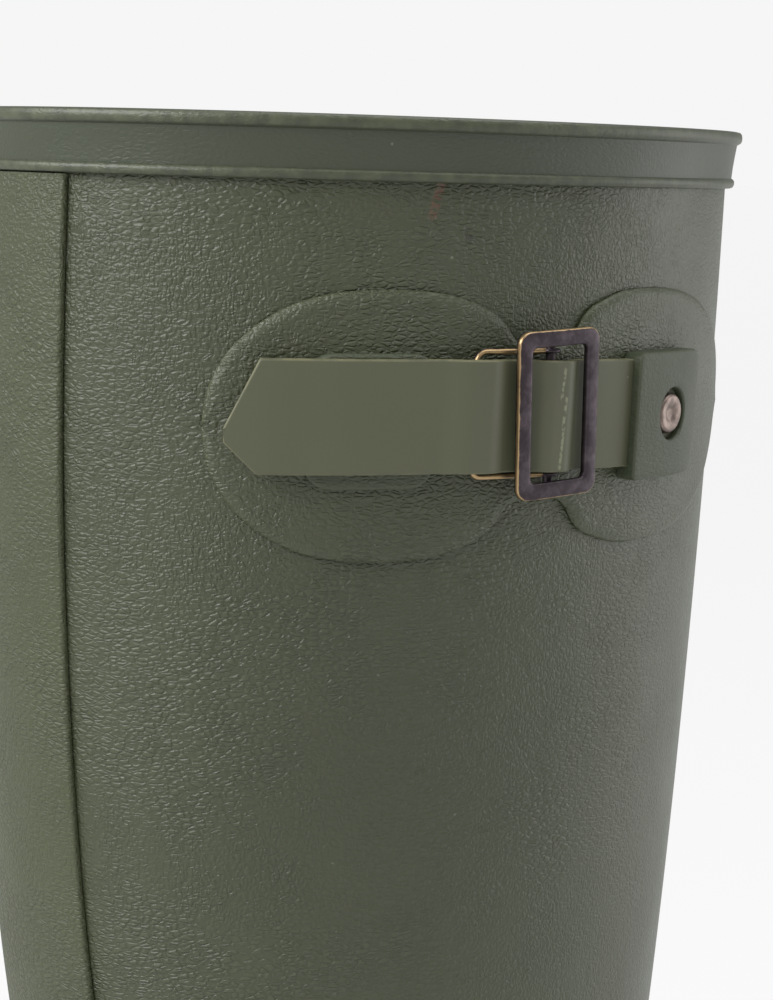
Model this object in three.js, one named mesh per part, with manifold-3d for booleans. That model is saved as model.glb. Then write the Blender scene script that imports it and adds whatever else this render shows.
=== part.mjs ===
// A right rubber boot, standing on its sole. Millimetres, +Z up.
// Shapes are worked out with x across towards the outer side, y along from heel back to toe,
// z up from the floor. The exported group turns them so that the toe points to -Y, the outer
// side to -X, and the origin lies on the floor under the middle of the heel.
import * as THREE from 'three';
import { mergeVertices } from 'three/addons/utils/BufferGeometryUtils.js';
import Module from 'manifold-3d';

const wasm = await Module();
wasm.setup();

// Sizes of the foot
const footLength = 292; // heel back to toe tip, along the edge where upper and sole meet
const ballWidth = 98;
const instepHeight = 106; // top of the foot above that edge
const heelHeight = 29; // that edge above the floor at the heel
const forefootHeight = 15; // and at the ball
const toeSpring = 11;

// Sizes of the leg
const bootHeight = 385;
const shaftHeight = 145; // upper stretch, whose sections are level
const collarDepth = 150; // front to back
const collarWidth = 116;
const shaftCentre = 54; // middle of the collar ahead of the heel back

// Walls and clearances
const wall = 2.6;
const gap = 0.3; // between neighbouring pieces
const overlap = 1; // how far joined forms run into each other

// Sole
const weltMargin = 4; // how far the sole stands out beyond the upper
const heelLength = 75;
const heelBreastRadius = 70;
const archRise = 13; // underside of the waist above the floor
const lugDepth = 4.5;
const lugWidth = 6.5;
const lugPitch = 11;
const lugSweep = 7; // how far each bar's middle runs ahead of its ends
const lugEdge = 2.4; // bars stop this far inside the sole's side
const treadStart = 128; // first forefoot bar, from the heel back
const sideGroove = 1; // depth of the groove round the sole's side
const heelInset = 1.2; // how far the heel stands inside the welt
const randHeight = 10; // rim of the sole that covers the foot of the upper
const randThickness = 1.8;
const insoleThickness = 4;

// Collar band and back strip
const bandHeight = 10.3;
const bandThickness = 2.6;
const beadHeight = 1.9; // raised rim along the band's top
const stripWidth = 28.4;
const stripThickness = 1;
const stripFoot = 16; // lower end above the sole's edge

// Side strap: its places are girths, from the back centre line, and drops, from the collar's top
const strapDrop = 47.6;
const buckleGirth = 97.3;
const patchThickness = 0.9;
const patchLength = 121;
const patchReach = 58.3; // from the buckle back to the patch's rear end
const patchDrop = 49.7;
const lobeHeight = 44.4;
const neckShare = 0.59; // neck height against lobe height
const strapHeight = 18.5;
const strapThickness = 2;
const strapTipReach = 54.3; // from the buckle back to the strap's tip
const strapEndReach = 35; // from the buckle forward to the strap's hidden end
const strapSlip = 1.3; // fall of the strap's line from the buckle to that end
const tipLength = 5.2; // from the tip's end edge to the strap's full height
const tipTop = 0.1; // end edge's top below the strap's middle, as a share of strapHeight
const tipBottom = 0.24;
const tabWidth = 21;
const tabHeight = 22;
const tabCorner = 4;
const rearTabReach = 31.5; // from the buckle back to the rear tab's middle
const rearTabThickness = 1.6;
const frontTabReach = 29.2; // from the buckle forward to the front tab's middle
const frontTabDrop = 49.3;
const frontTabThickness = 1.3;
const tongueHeight = 15; // strip that joins the rear tab to the loop
const rivetHoleWidth = 7.8;
const rivetHoleHeight = 9.2;
const rivetThickness = 1;

// Buckle
const frameWidth = 16.5;
const frameHeight = 28;
const frameBar = 2.6; // upright bars
const frameEndBar = 2.8;
const frameThickness = 1.5;
const frameCorner = 2.2;
const frameEdge = 0.35; // bevel
const frameLift = 5.4; // middle of the frame above the shaft
const frameTurn = 2.7; // degrees, front end up
const frameTilt = 2.5; // degrees, rear bar lifted
const barLift = 3.15;
const barRadius = 0.8;
const barInset = 0.6; // bar's ends inside the frame's
const loopReach = 14.4; // from the centre bar back to the loop's far bar
const loopHalfHeight = 10.7;
const loopWire = 1.2;
const loopArm = 0.75; // width of each arm
const loopLift = 2.85;
const eyeWall = 0.55;
const eyeClearance = 0.25;

// How fine the surfaces are
const footRows = 17;
const ankleRows = 8;
const shaftRows = 5;
const columns = 16; // on each side, front centre line to lower edge

// Edge where the upper meets the sole, seen from above. along is a share of footLength,
// outer and inner are shares of ballWidth from the heel's centre line.
const lastOutline = [
  { along: 0, outer: 0, inner: 0 },
  { along: 0.024, outer: 0.2, inner: 0.2 },
  { along: 0.06, outer: 0.288, inner: 0.288 },
  { along: 0.11, outer: 0.326, inner: 0.324 },
  { along: 0.2, outer: 0.34, inner: 0.334 },
  { along: 0.3, outer: 0.35, inner: 0.322 },
  { along: 0.4, outer: 0.385, inner: 0.303 },
  { along: 0.5, outer: 0.437, inner: 0.318 },
  { along: 0.6, outer: 0.488, inner: 0.386 },
  { along: 0.68, outer: 0.506, inner: 0.447 },
  { along: 0.76, outer: 0.484, inner: 0.484 },
  { along: 0.84, outer: 0.422, inner: 0.481 },
  { along: 0.91, outer: 0.33, inner: 0.434 },
  { along: 0.96, outer: 0.22, inner: 0.345 },
  { along: 0.988, outer: 0.103, inner: 0.23 },
  { along: 1, outer: -0.06, inner: 0.06 },
];

// Height of that edge and of the sole's underside. rise is a share of what the heel stands
// above the forefoot, spring of toeSpring, arch of what archRise stands above lugDepth.
const soleProfile = [
  { along: 0, rise: 1, spring: 0, arch: 1 },
  { along: 0.2, rise: 0.97, spring: 0, arch: 1 },
  { along: 0.34, rise: 0.84, spring: 0, arch: 0.95 },
  { along: 0.43, rise: 0.68, spring: 0, arch: 0.5 },
  { along: 0.5, rise: 0.5, spring: 0, arch: 0.1 },
  { along: 0.62, rise: 0.18, spring: 0, arch: 0 },
  { along: 0.72, rise: 0.02, spring: 0.01, arch: 0 },
  { along: 0.8, rise: 0, spring: 0.1, arch: 0 },
  { along: 0.9, rise: 0, spring: 0.44, arch: 0 },
  { along: 1, rise: 0, spring: 1, arch: 0 },
];

// Side of the sole, underside (0) to top (1). inset is how far it stands inside the welt, as
// a share of sideGroove.
const soleSide = [
  { rise: 0, inset: 1.6 },
  { rise: 0.12, inset: 0.2 },
  { rise: 0.5, inset: 0 },
  { rise: 0.57, inset: 1 },
  { rise: 0.68, inset: 1 },
  { rise: 0.75, inset: 0 },
  { rise: 1, inset: 0.3 },
];

// Sections of the foot, toe tip (at 0) to heel back (at 1). front and height place the top
// of each section, as shares of footLength and of instepHeight above the sole's edge. The
// half width squared is that of the edge plus the swell squared; outer and inner are those
// swells, as shares of ballWidth. widest is the share of the way down to the widest point.
// full is 2 for a round top. ridge is how far the top lies to the inner side, as a share of
// ballWidth.
const footSections = [
  { at: 0, front: 1, height: 0, outer: 0, inner: 0, widest: 0.55, full: 2.2, ridge: 0.06 },
  { at: 0.05, front: 1.006, height: 0.125, outer: 0.055, inner: 0.056, widest: 0.58, full: 2.2, ridge: 0.06 },
  { at: 0.1, front: 0.994, height: 0.255, outer: 0.092, inner: 0.094, widest: 0.62, full: 2.2, ridge: 0.058 },
  { at: 0.2, front: 0.936, height: 0.44, outer: 0.133, inner: 0.133, widest: 0.7, full: 2.2, ridge: 0.052 },
  { at: 0.3, front: 0.826, height: 0.565, outer: 0.15, inner: 0.142, widest: 0.76, full: 2.1, ridge: 0.04 },
  { at: 0.4, front: 0.68, height: 0.715, outer: 0.157, inner: 0.195, widest: 0.79, full: 1.95, ridge: 0.03 },
  { at: 0.5, front: 0.551, height: 0.9, outer: 0.17, inner: 0.24, widest: 0.78, full: 1.9, ridge: 0.02 },
  { at: 0.6, front: 0.468, height: 1.09, outer: 0.2, inner: 0.265, widest: 0.73, full: 1.92, ridge: 0.01 },
  { at: 0.7, front: 0.426, height: 1.25, outer: 0.23, inner: 0.25, widest: 0.67, full: 1.96, ridge: 0.004 },
  { at: 0.8, front: 0.409, height: 1.36, outer: 0.262, inner: 0.262, widest: 0.61, full: 2, ridge: 0 },
  { at: 0.85, front: 0.405, height: 1.405, outer: 0.301, inner: 0.301, widest: 0.58, full: 2, ridge: 0 },
  { at: 0.9, front: 0.402, height: 1.445, outer: 0.359, inner: 0.359, widest: 0.555, full: 2, ridge: 0 },
  { at: 0.95, front: 0.4005, height: 1.478, outer: 0.398, inner: 0.398, widest: 0.537, full: 2, ridge: 0 },
  { at: 1, front: 0.4, height: 1.505, outer: 0.412, inner: 0.412, widest: 0.53, full: 2, ridge: 0 },
];

// Sections of the ankle, heel back (at 0) to the foot of the shaft (at 1). frontRise and
// backRise are shares of the way up. front is a share of the way from the throat to the
// collar's front, back of the collar's reach behind the heel, width of collarWidth.
const ankleSections = [
  { at: 0.08, frontRise: 0.02, backRise: 0.085, front: 0.003, back: 0.04, width: 0.704, widest: 0.527 },
  { at: 0.17, frontRise: 0.045, backRise: 0.19, front: 0.012, back: -0.04, width: 0.724, widest: 0.52 },
  { at: 0.34, frontRise: 0.11, backRise: 0.385, front: 0.038, back: -0.17, width: 0.775, widest: 0.507 },
  { at: 0.51, frontRise: 0.2, backRise: 0.58, front: 0.085, back: 0, width: 0.828, widest: 0.5 },
  { at: 0.68, frontRise: 0.34, backRise: 0.755, front: 0.155, back: 0.31, width: 0.872, widest: 0.5 },
  { at: 0.84, frontRise: 0.55, backRise: 0.89, front: 0.265, back: 0.57, width: 0.905, widest: 0.5 },
];

// Sections of the shaft, its foot (at 0) to the collar (at 1), in the same shares.
const shaftSections = [
  { at: 0, front: 0.43, back: 0.74, width: 0.932 },
  { at: 0.33, front: 0.73, back: 0.96, width: 0.962 },
  { at: 0.66, front: 0.925, back: 1.045, width: 0.984 },
  { at: 1, front: 1, back: 1, width: 1 },
];

// Smooth curve through points (xs, ys): cubics whose slopes come from the neighbours, kept
// small enough that the curve never swings past a point. levelAt is a place among xs where
// the curve is held level.
function curveThrough(xs, ys, levelAt) {
  const steps = xs.slice(1).map((x, i) => x - xs[i]);
  const secants = steps.map((step, i) => (ys[i + 1] - ys[i]) / step);
  const slopes = xs.map((_, i) => {
    if (i === 0 || i === xs.length - 1) return 0;
    const [before, after] = [secants[i - 1], secants[i]];
    if (before * after <= 0) return 0;
    const mean = (steps[i] * before + steps[i - 1] * after) / (steps[i - 1] + steps[i]);
    return Math.sign(mean) * Math.min(Math.abs(mean), 3 * Math.abs(before), 3 * Math.abs(after));
  });
  slopes[0] = 1.5 * secants[0] - 0.5 * slopes[1];
  slopes[xs.length - 1] = 1.5 * secants.at(-1) - 0.5 * slopes.at(-2);
  if (xs.includes(levelAt)) slopes[xs.indexOf(levelAt)] = 0;
  return (x) => {
    let i = 0;
    while (i < steps.length - 1 && x > xs[i + 1]) i += 1;
    const t = (x - xs[i]) / steps[i];
    const rest = 1 - t;
    return ys[i] * (1 + 2 * t) * rest * rest + ys[i + 1] * (1 + 2 * rest) * t * t
      + steps[i] * t * rest * (slopes[i] * rest - slopes[i + 1] * t);
  };
}

// The sole's edge is followed by a share q, 0 at the toe tip and 1 at the heel back. Its
// places along the foot lie close together at both ends, where the outline turns.
const alongAt = (q) => footLength * (1 + Math.cos(Math.PI * q)) / 2;
const shareAt = (along) => Math.acos(2 * along - 1) / Math.PI;

function outlineCurve(column, sign) {
  const rows = [...lastOutline].reverse();
  return curveThrough(
    rows.map((row) => shareAt(row.along)),
    rows.map((row) => sign * row[column] * ballWidth),
  );
}
const edgeAcross = { 1: outlineCurve('outer', 1), [-1]: outlineCurve('inner', -1) };

const profileCurve = (column) => curveThrough(
  soleProfile.map((row) => row.along * footLength),
  soleProfile.map((row) => row[column]),
);
const riseAt = profileCurve('rise');
const springAt = profileCurve('spring');
const archAt = profileCurve('arch');
const treadHeight = (along) => toeSpring * springAt(along);
const underHeight = (along) => treadHeight(along) + lugDepth + (archRise - lugDepth) * archAt(along);
const edgeHeight = (along) => (
  treadHeight(along) + forefootHeight + (heelHeight - forefootHeight) * riseAt(along)
);

// A section is found by u: 0 to 1 on the foot, 1 to 2 on the ankle, 2 to 3 on the shaft.
const shaftFoot = bootHeight - shaftHeight;
const throat = footSections.at(-1);
const throatAlong = throat.front * footLength;
const throatHeight = heelHeight + throat.height * instepHeight;
const collarFront = shaftCentre + collarDepth / 2;
const collarBack = shaftCentre - collarDepth / 2;
const legSections = [
  ...ankleSections.map((row) => ({ ...row, at: 1 + row.at })),
  ...shaftSections.map((row) => ({ ...row, at: 2 + row.at, widest: 0.5 })),
];

// Curve through all sections, level where foot and leg meet, so that they meet smoothly.
function sectionCurve(footValue, legValue) {
  return curveThrough(
    [...footSections.map((row) => row.at), ...legSections.map((row) => row.at)],
    [...footSections.map(footValue), ...legSections.map(legValue)],
    throat.at,
  );
}
const frontAlong = sectionCurve(
  (row) => row.front * footLength,
  (row) => throatAlong + (collarFront - throatAlong) * row.front,
);
const swell = {
  1: sectionCurve((row) => row.outer * ballWidth, (row) => row.width * collarWidth / 2),
  [-1]: sectionCurve((row) => row.inner * ballWidth, (row) => row.width * collarWidth / 2),
};
const widestAt = sectionCurve((row) => row.widest, (row) => row.widest);
const fullnessAt = sectionCurve((row) => row.full, () => 2);
const ridgeAt = sectionCurve((row) => -row.ridge * ballWidth, () => 0);
const topHeight = curveThrough(
  footSections.map((row) => row.at),
  footSections.map((row) => row.height * instepHeight),
);
const backAlong = curveThrough(
  [throat.at, ...legSections.map((row) => row.at)],
  [0, ...legSections.map((row) => row.back * collarBack)],
  throat.at,
);

// Height of the front and back ends of a leg section: rises through the ankle, level above.
function ankleCurve(column, from) {
  const rows = [{ at: 0, [column]: 0 }, ...ankleSections, { at: 1, [column]: 1 }];
  const heights = rows.map((row) => from + (shaftFoot - from) * row[column]);
  return curveThrough([...rows.map((row) => 1 + row.at), 3], [...heights, bootHeight]);
}
const ankleFrontHeight = ankleCurve('frontRise', throatHeight);
const ankleBackHeight = ankleCurve('backRise', heelHeight);
const levelHeight = (u) => shaftFoot + (u - 2) * shaftHeight;

function frontHeight(u) {
  if (u <= 1) return edgeHeight(alongAt(u)) + topHeight(u);
  return u < 2 ? ankleFrontHeight(u) : levelHeight(u);
}
function backHeight(u) {
  return u < 2 ? ankleBackHeight(u) : levelHeight(u);
}

// Point of the upper's outer face in section u, v from the front centre line (0) to the
// lower edge or back centre line (1), on the outer (1) or inner (-1) side. The upper part
// of a section is a quarter of a superellipse, the lower an ellipse cut off at the edge.
function face(u, v, side) {
  const onFoot = u <= 1;
  const lower = onFoot ? alongAt(u) : backAlong(u);
  const lowerHeight = onFoot ? edgeHeight(lower) : backHeight(u);
  const ridge = ridgeAt(u);
  const edge = onFoot ? Math.max(0, side * (edgeAcross[side](u) - ridge)) : 0;
  const swelling = Math.max(0, swell[side](u));
  const half = Math.hypot(edge, swelling);
  const widest = widestAt(u);
  let across;
  let down;
  if (v <= 0.5) {
    const turn = Math.PI * v;
    const power = 2 / fullnessAt(u);
    across = half * Math.sin(turn) ** power;
    down = widest * (1 - Math.cos(turn) ** power);
  } else {
    const last = half > 0 ? Math.atan2(swelling, edge) : Math.PI / 2;
    const turn = last * (2 * v - 1);
    across = half * Math.cos(turn);
    down = widest + (1 - widest) * Math.sin(turn) / Math.sin(last);
  }
  const front = frontAlong(u);
  const top = frontHeight(u);
  return new THREE.Vector3(
    ridge + side * across,
    front + (lower - front) * down,
    top + (lowerHeight - top) * down,
  );
}

// Point at a distance outside that face. Along the sole's edge, and on the level shaft,
// the distance is taken level, so the rims stay flat.
function skin(u, v, side, offset) {
  const point = face(u, v, side);
  if (offset === 0) return point;
  if (u < 1e-6) return point.add(new THREE.Vector3(0, offset, 0));
  const step = 1e-3;
  const alongU = face(Math.min(3, u + step), v, side).sub(face(Math.max(step, u - step), v, side));
  const alongV = face(u, Math.min(1, v + step), side).sub(face(u, Math.max(0, v - step), side));
  const normal = alongU.cross(alongV).multiplyScalar(side);
  if (v < 1e-6 || (v > 1 - 1e-6 && u > 1 - 1e-6)) normal.x = 0;
  if (u >= 2 || (v > 1 - 1e-6 && u <= 1)) normal.z = 0;
  return point.addScaledVector(normal.normalize(), offset);
}

// Mesh helpers. A body is a list of triangles whose corners are points. Corners that lie
// together are merged, flat triangles dropped, and all faces turned outwards.
function bodyFrom(triangles) {
  const loose = new THREE.BufferGeometry().setFromPoints(triangles.flat());
  const merged = mergeVertices(loose, 1e-4);
  const index = [];
  let volume = 0;
  const [a, b, c] = [new THREE.Vector3(), new THREE.Vector3(), new THREE.Vector3()];
  for (let i = 0; i < merged.index.count; i += 3) {
    const corners = [0, 1, 2].map((k) => merged.index.getX(i + k));
    if (new Set(corners).size < 3) continue;
    index.push(corners);
    [a, b, c].forEach((corner, k) => corner.fromBufferAttribute(merged.attributes.position, corners[k]));
    volume += a.dot(b.cross(c));
  }
  merged.setIndex(index.flatMap((corners) => (volume < 0 ? corners.reverse() : corners)));
  return merged;
}

// Two triangles over four corners, split along the shorter diagonal.
function quad(a, b, c, d) {
  return a.distanceTo(c) <= b.distanceTo(d) ? [[a, b, c], [a, c, d]] : [[a, b, d], [b, c, d]];
}

// Triangles between two rows of points.
function ribbon(first, second) {
  return first.slice(1).flatMap((_, i) => quad(first[i], first[i + 1], second[i + 1], second[i]));
}

// Triangles over a grid of rows.
const sheet = (rows) => rows.slice(1).flatMap((row, i) => ribbon(rows[i], row));

// Closed body between an upper and a lower grid of the same size.
function slab(high, low) {
  const firstOf = (rows) => rows.map((row) => row[0]);
  const lastOf = (rows) => rows.map((row) => row.at(-1));
  return bodyFrom([
    ...sheet(high),
    ...sheet(low.map((row) => [...row].reverse())),
    ...ribbon(high[0], low[0]).map((corners) => corners.reverse()),
    ...ribbon(high.at(-1), low.at(-1)),
    ...ribbon(firstOf(high), firstOf(low)),
    ...ribbon(lastOf(high), lastOf(low)).map((corners) => corners.reverse()),
  ]);
}

function toManifold(geometry) {
  const plain = new THREE.BufferGeometry();
  plain.setAttribute('position', geometry.attributes.position);
  plain.setIndex(geometry.index);
  const merged = mergeVertices(plain, 1e-4);
  return new wasm.Manifold(new wasm.Mesh({
    numProp: 3,
    vertProperties: new Float32Array(merged.attributes.position.array),
    triVerts: new Uint32Array(merged.index.array),
  }));
}

function fromManifold(solid) {
  const mesh = solid.getMesh();
  const geometry = new THREE.BufferGeometry();
  geometry.setAttribute('position', new THREE.BufferAttribute(mesh.vertProperties, 3));
  geometry.setIndex(new THREE.BufferAttribute(mesh.triVerts, 1));
  return geometry;
}

const evenly = (from, to, steps) => (
  Array.from({ length: steps + 1 }, (_, i) => from + (to - from) * i / steps)
);

// Rows and columns that the upper and everything cut from it share.
const rowPlaces = [
  ...evenly(0, 1, footRows),
  ...evenly(1, 2, ankleRows).slice(1),
  ...evenly(2, 3, shaftRows).slice(1),
];
const columnPlaces = [
  ...evenly(1, 0, columns).map((v) => ({ v, side: 1 })),
  ...evenly(0, 1, columns).slice(1).map((v) => ({ v, side: -1 })),
];
const faceGrid = (offset) => rowPlaces.map((u) => (
  columnPlaces.map(({ v, side }) => skin(u, v, side, offset))
));

// Upper: one wall, open at the collar and underneath.
function upper() {
  const outside = faceGrid(0);
  const inside = faceGrid(-wall);
  const foot = outside.slice(0, footRows + 1);
  const footInside = inside.slice(0, footRows + 1);
  const rimAlong = (column) => (
    ribbon(foot.map((row) => row.at(column)), footInside.map((row) => row.at(column)))
  );
  return bodyFrom([
    ...sheet(outside),
    ...sheet(inside.map((row) => [...row].reverse())),
    ...ribbon(outside.at(-1), inside.at(-1)),
    ...rimAlong(0),
    ...rimAlong(-1).map((corners) => corners.reverse()),
  ]);
}

// The upper's form filled and stood out by an offset, with a skirt below the sole's edge.
function filledUpper(offset, skirt) {
  const outside = faceGrid(offset);
  const foot = outside.slice(0, footRows + 1);
  const edges = [0, -1].map((column) => foot.map((row) => row.at(column)));
  const lowered = edges.map((edge) => edge.map((point) => point.clone().setZ(point.z - skirt)));
  const top = outside.at(-1);
  const middle = top[columns].clone().lerp(top[0], 0.5);
  return toManifold(bodyFrom([
    ...sheet(outside),
    ...ribbon(edges[0], lowered[0]),
    ...ribbon(edges[1], lowered[1]).map((corners) => corners.reverse()),
    ...ribbon(lowered[0], lowered[1]),
    ...top.slice(1).map((point, i) => [top[i], point, middle]),
  ]));
}

// Closed loop round the foot, stood out from the sole's edge by an offset, at a height
// that is a function of the place along.
function loopRound(offset, heightAt) {
  const pointAt = (q, side) => {
    const step = 1e-3;
    const [before, after] = [Math.max(0, q - step), Math.min(1, q + step)];
    const turnX = edgeAcross[side](after) - edgeAcross[side](before);
    const turnY = alongAt(after) - alongAt(before);
    const out = new THREE.Vector2(-turnY, turnX).multiplyScalar(side);
    if (q < step || q > 1 - step) out.x = 0;
    out.normalize();
    const along = alongAt(q) + offset * out.y;
    const reach = THREE.MathUtils.clamp(along, 0, footLength);
    return new THREE.Vector3(edgeAcross[side](q) + offset * out.x, along, heightAt(reach));
  };
  const places = evenly(0, 1, footRows);
  return [
    ...places.map((q) => pointAt(q, 1)),
    ...places.slice(1, -1).reverse().map((q) => pointAt(q, -1)),
  ];
}

// Closed body from loops stacked upwards, capped across the foot at both ends.
function stack(loops) {
  const cap = (loop) => {
    const half = loop.length / 2;
    const outerSide = loop.slice(0, half + 1);
    const innerSide = [loop[0], ...loop.slice(half).reverse()];
    return ribbon(outerSide, innerSide);
  };
  const closed = (loop) => [...loop, loop[0]];
  return bodyFrom([
    ...loops.slice(1).flatMap((loop, i) => ribbon(closed(loops[i]), closed(loop))),
    ...cap(loops[0]).map((corners) => corners.reverse()),
    ...cap(loops.at(-1)),
  ]);
}

const extruded = (shape, from, to) => toManifold(
  new THREE.ExtrudeGeometry(shape, { depth: to - from, bevelEnabled: false, curveSegments: 12 })
    .translate(0, 0, from),
);

// Part of the heel behind its curved breast, pulled in by an inset.
function behindBreast(inset) {
  const shape = new THREE.Shape();
  const breast = heelLength - inset;
  const reach = ballWidth;
  const spread = Math.asin(reach / 2 / heelBreastRadius);
  shape.moveTo(-reach / 2, -reach);
  shape.lineTo(reach / 2, -reach);
  const middle = breast + heelBreastRadius;
  shape.absarc(0, middle, heelBreastRadius, -Math.PI / 2 + spread, -Math.PI / 2 - spread, true);
  shape.closePath();
  return extruded(shape, -lugDepth, heelHeight);
}

// Bars across the tread, each swept forward in its middle.
function lugBars(middle, count) {
  const bars = evenly(0, count - 1, count - 1).map((i) => {
    const along = middle + lugPitch * i;
    const reach = ballWidth;
    const shape = new THREE.Shape();
    shape.moveTo(-reach, along - lugWidth / 2 - lugSweep);
    shape.lineTo(0, along - lugWidth / 2);
    shape.lineTo(reach, along - lugWidth / 2 - lugSweep);
    shape.lineTo(reach, along + lugWidth / 2 - lugSweep);
    shape.lineTo(0, along + lugWidth / 2);
    shape.lineTo(-reach, along + lugWidth / 2 - lugSweep);
    return extruded(shape, -lugDepth, heelHeight);
  });
  return bars.reduce((all, bar) => all.add(bar));
}

// Outsole: waist and forefoot, heel, bars, and a rim that covers the foot of the upper.
function outsole() {
  const topAt = (along) => edgeHeight(along) - gap;
  const rimGap = 1.5 * gap;
  const body = toManifold(stack(soleSide.map(({ rise, inset }) => loopRound(
    weltMargin - inset * sideGroove,
    (along) => underHeight(along) + (topAt(along) - underHeight(along)) * rise,
  ))));
  const heel = toManifold(stack([
    loopRound(weltMargin - heelInset, () => lugDepth),
    loopRound(weltMargin - heelInset, () => archRise + overlap),
  ])).intersect(behindBreast(0));
  const heelTread = toManifold(stack([
    loopRound(weltMargin - lugEdge, () => 0),
    loopRound(weltMargin - lugEdge, () => lugDepth + overlap),
  ])).intersect(behindBreast(lugEdge));
  const foreTread = toManifold(stack([
    loopRound(weltMargin - lugEdge, treadHeight),
    loopRound(weltMargin - lugEdge, (along) => underHeight(along) + overlap),
  ]));
  const barsBehind = Math.floor(heelLength / 2 / lugPitch);
  const heelBars = lugBars(heelLength / 2 - barsBehind * lugPitch, 2 * barsBehind + 2).intersect(heelTread);
  const barsAhead = Math.ceil((footLength + lugSweep - treadStart) / lugPitch) + 1;
  const foreBars = lugBars(treadStart, barsAhead).intersect(foreTread);
  const rimPlaces = evenly(-weltMargin, footLength + 2 * weltMargin, 16);
  const rimPoint = (along, rise) => new THREE.Vector2(
    along,
    edgeHeight(THREE.MathUtils.clamp(along, 0, footLength)) + rise,
  );
  const rimSide = new THREE.Shape([
    ...rimPlaces.map((along) => rimPoint(along, -2 * gap)),
    ...[...rimPlaces].reverse().map((along) => rimPoint(along, randHeight)),
  ]);
  const rimSlab = toManifold(
    new THREE.ExtrudeGeometry(rimSide, { depth: 2 * ballWidth, bevelEnabled: false })
      .translate(0, 0, -ballWidth).rotateX(Math.PI / 2).rotateZ(Math.PI / 2),
  );
  const rim = filledUpper(rimGap + randThickness, 2 * overlap)
    .subtract(filledUpper(rimGap, 2 * overlap))
    .intersect(rimSlab);
  return fromManifold(body.add(heel).add(heelBars).add(foreBars).add(rim));
}

// Insole: a flat pad inside the upper, on the outsole.
function insole() {
  const inset = -(wall + 2 * gap);
  return stack([
    loopRound(inset, (along) => edgeHeight(along)),
    loopRound(inset, (along) => edgeHeight(along) + insoleThickness * 0.7),
    loopRound(inset - 1.2, (along) => edgeHeight(along) + insoleThickness),
  ]);
}

// Collar band: this profile carried round the shaft. drop is a share of bandHeight and
// lift a share of bandThickness, except in the rim along the top.
function collarBand() {
  const bead = beadHeight / bandHeight;
  const low = gap / bandThickness;
  const profile = [
    { drop: 1, lift: low },
    { drop: 1, lift: 0.36 },
    { drop: 0.96, lift: 0.52 },
    { drop: 0.89, lift: 0.52 },
    { drop: 0.85, lift: 0.38 },
    { drop: bead * 1.1, lift: 0.68 },
    { drop: bead * 0.95, lift: 0.92 },
    { drop: bead * 0.5, lift: 1 },
    { drop: bead * 0.1, lift: 0.9 },
    { drop: 0, lift: 0.66 },
    { drop: 0, lift: low },
  ];
  const places = columnPlaces.slice(0, -1);
  const loops = profile.map(({ drop, lift }) => places.map(({ v, side }) => (
    skin(3 - drop * bandHeight / shaftHeight, v, side, lift * bandThickness)
  )));
  const closed = (loop) => [...loop, loop[0]];
  return bodyFrom([...loops.slice(1), loops[0]].flatMap((loop, i) => (
    ribbon(closed(loops[i]), closed(loop))
  )));
}

// Back strip: a band of even width down the back centre line, from collar band to sole.
function backStrip() {
  const top = 3 - (bandHeight + gap) / shaftHeight;
  const foot = 1 + stripFoot / (shaftFoot - heelHeight);
  const across = evenly(-stripWidth / 2, stripWidth / 2, 6);
  const rowAt = (u, lift) => across.map((x) => {
    const side = x < 0 ? -1 : 1;
    const turn = Math.acos(Math.abs(x) / swell[side](u));
    return skin(u, 0.5 + turn / Math.PI, side, lift);
  });
  const rows = [foot, ...rowPlaces.filter((u) => u > foot + 0.02 && u < top - 0.02), top];
  return slab(rows.map((u) => rowAt(u, gap + stripThickness)), rows.map((u) => rowAt(u, gap)));
}

// Girth along the shaft's outer side at the strap, from the back centre line, against v.
const strapRow = 3 - strapDrop / shaftHeight;
const girthAngles = evenly(1, 0, 90);
const girthPoints = girthAngles.map((v) => face(strapRow, v, 1));
const girths = [0];
girthPoints.slice(1).forEach((point, i) => girths.push(girths[i] + point.distanceTo(girthPoints[i])));
const columnAtGirth = curveThrough(girths, girthAngles);

// Bends a flat shape onto the shaft: x is girth, y is minus the drop, z the lift.
function onShaft(x, y, z) {
  return skin(3 + y / shaftHeight, columnAtGirth(x), 1, z);
}
function bent(geometry) {
  const places = geometry.attributes.position;
  for (let i = 0; i < places.count; i += 1) {
    const point = onShaft(places.getX(i), places.getY(i), places.getZ(i));
    places.setXYZ(i, point.x, point.y, point.z);
  }
  return geometry;
}

// Flat piece bent onto the shaft. rows is a list of places along the girth, each with the
// drop of its top and bottom edge and the lift of its lower and upper face.
function layer(rows, across) {
  const grid = (column) => rows.map((row) => (
    evenly(row.top, row.bottom, across).map((drop) => onShaft(row.girth, -drop, row[column]))
  ));
  return slab(grid('high'), grid('low'));
}

// Half height of a rounded rectangle at a distance x from its middle.
function roundedHalf(x, width, height, corner) {
  const past = Math.max(0, Math.abs(x) - (width / 2 - corner));
  return height / 2 - corner + Math.sqrt(Math.max(0, corner * corner - past * past));
}

// Places across a width, close together at both ends where the corners turn.
const roundPlaces = (width, steps) => evenly(0, Math.PI, steps).map((turn) => -Math.cos(turn) * width / 2);

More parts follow.
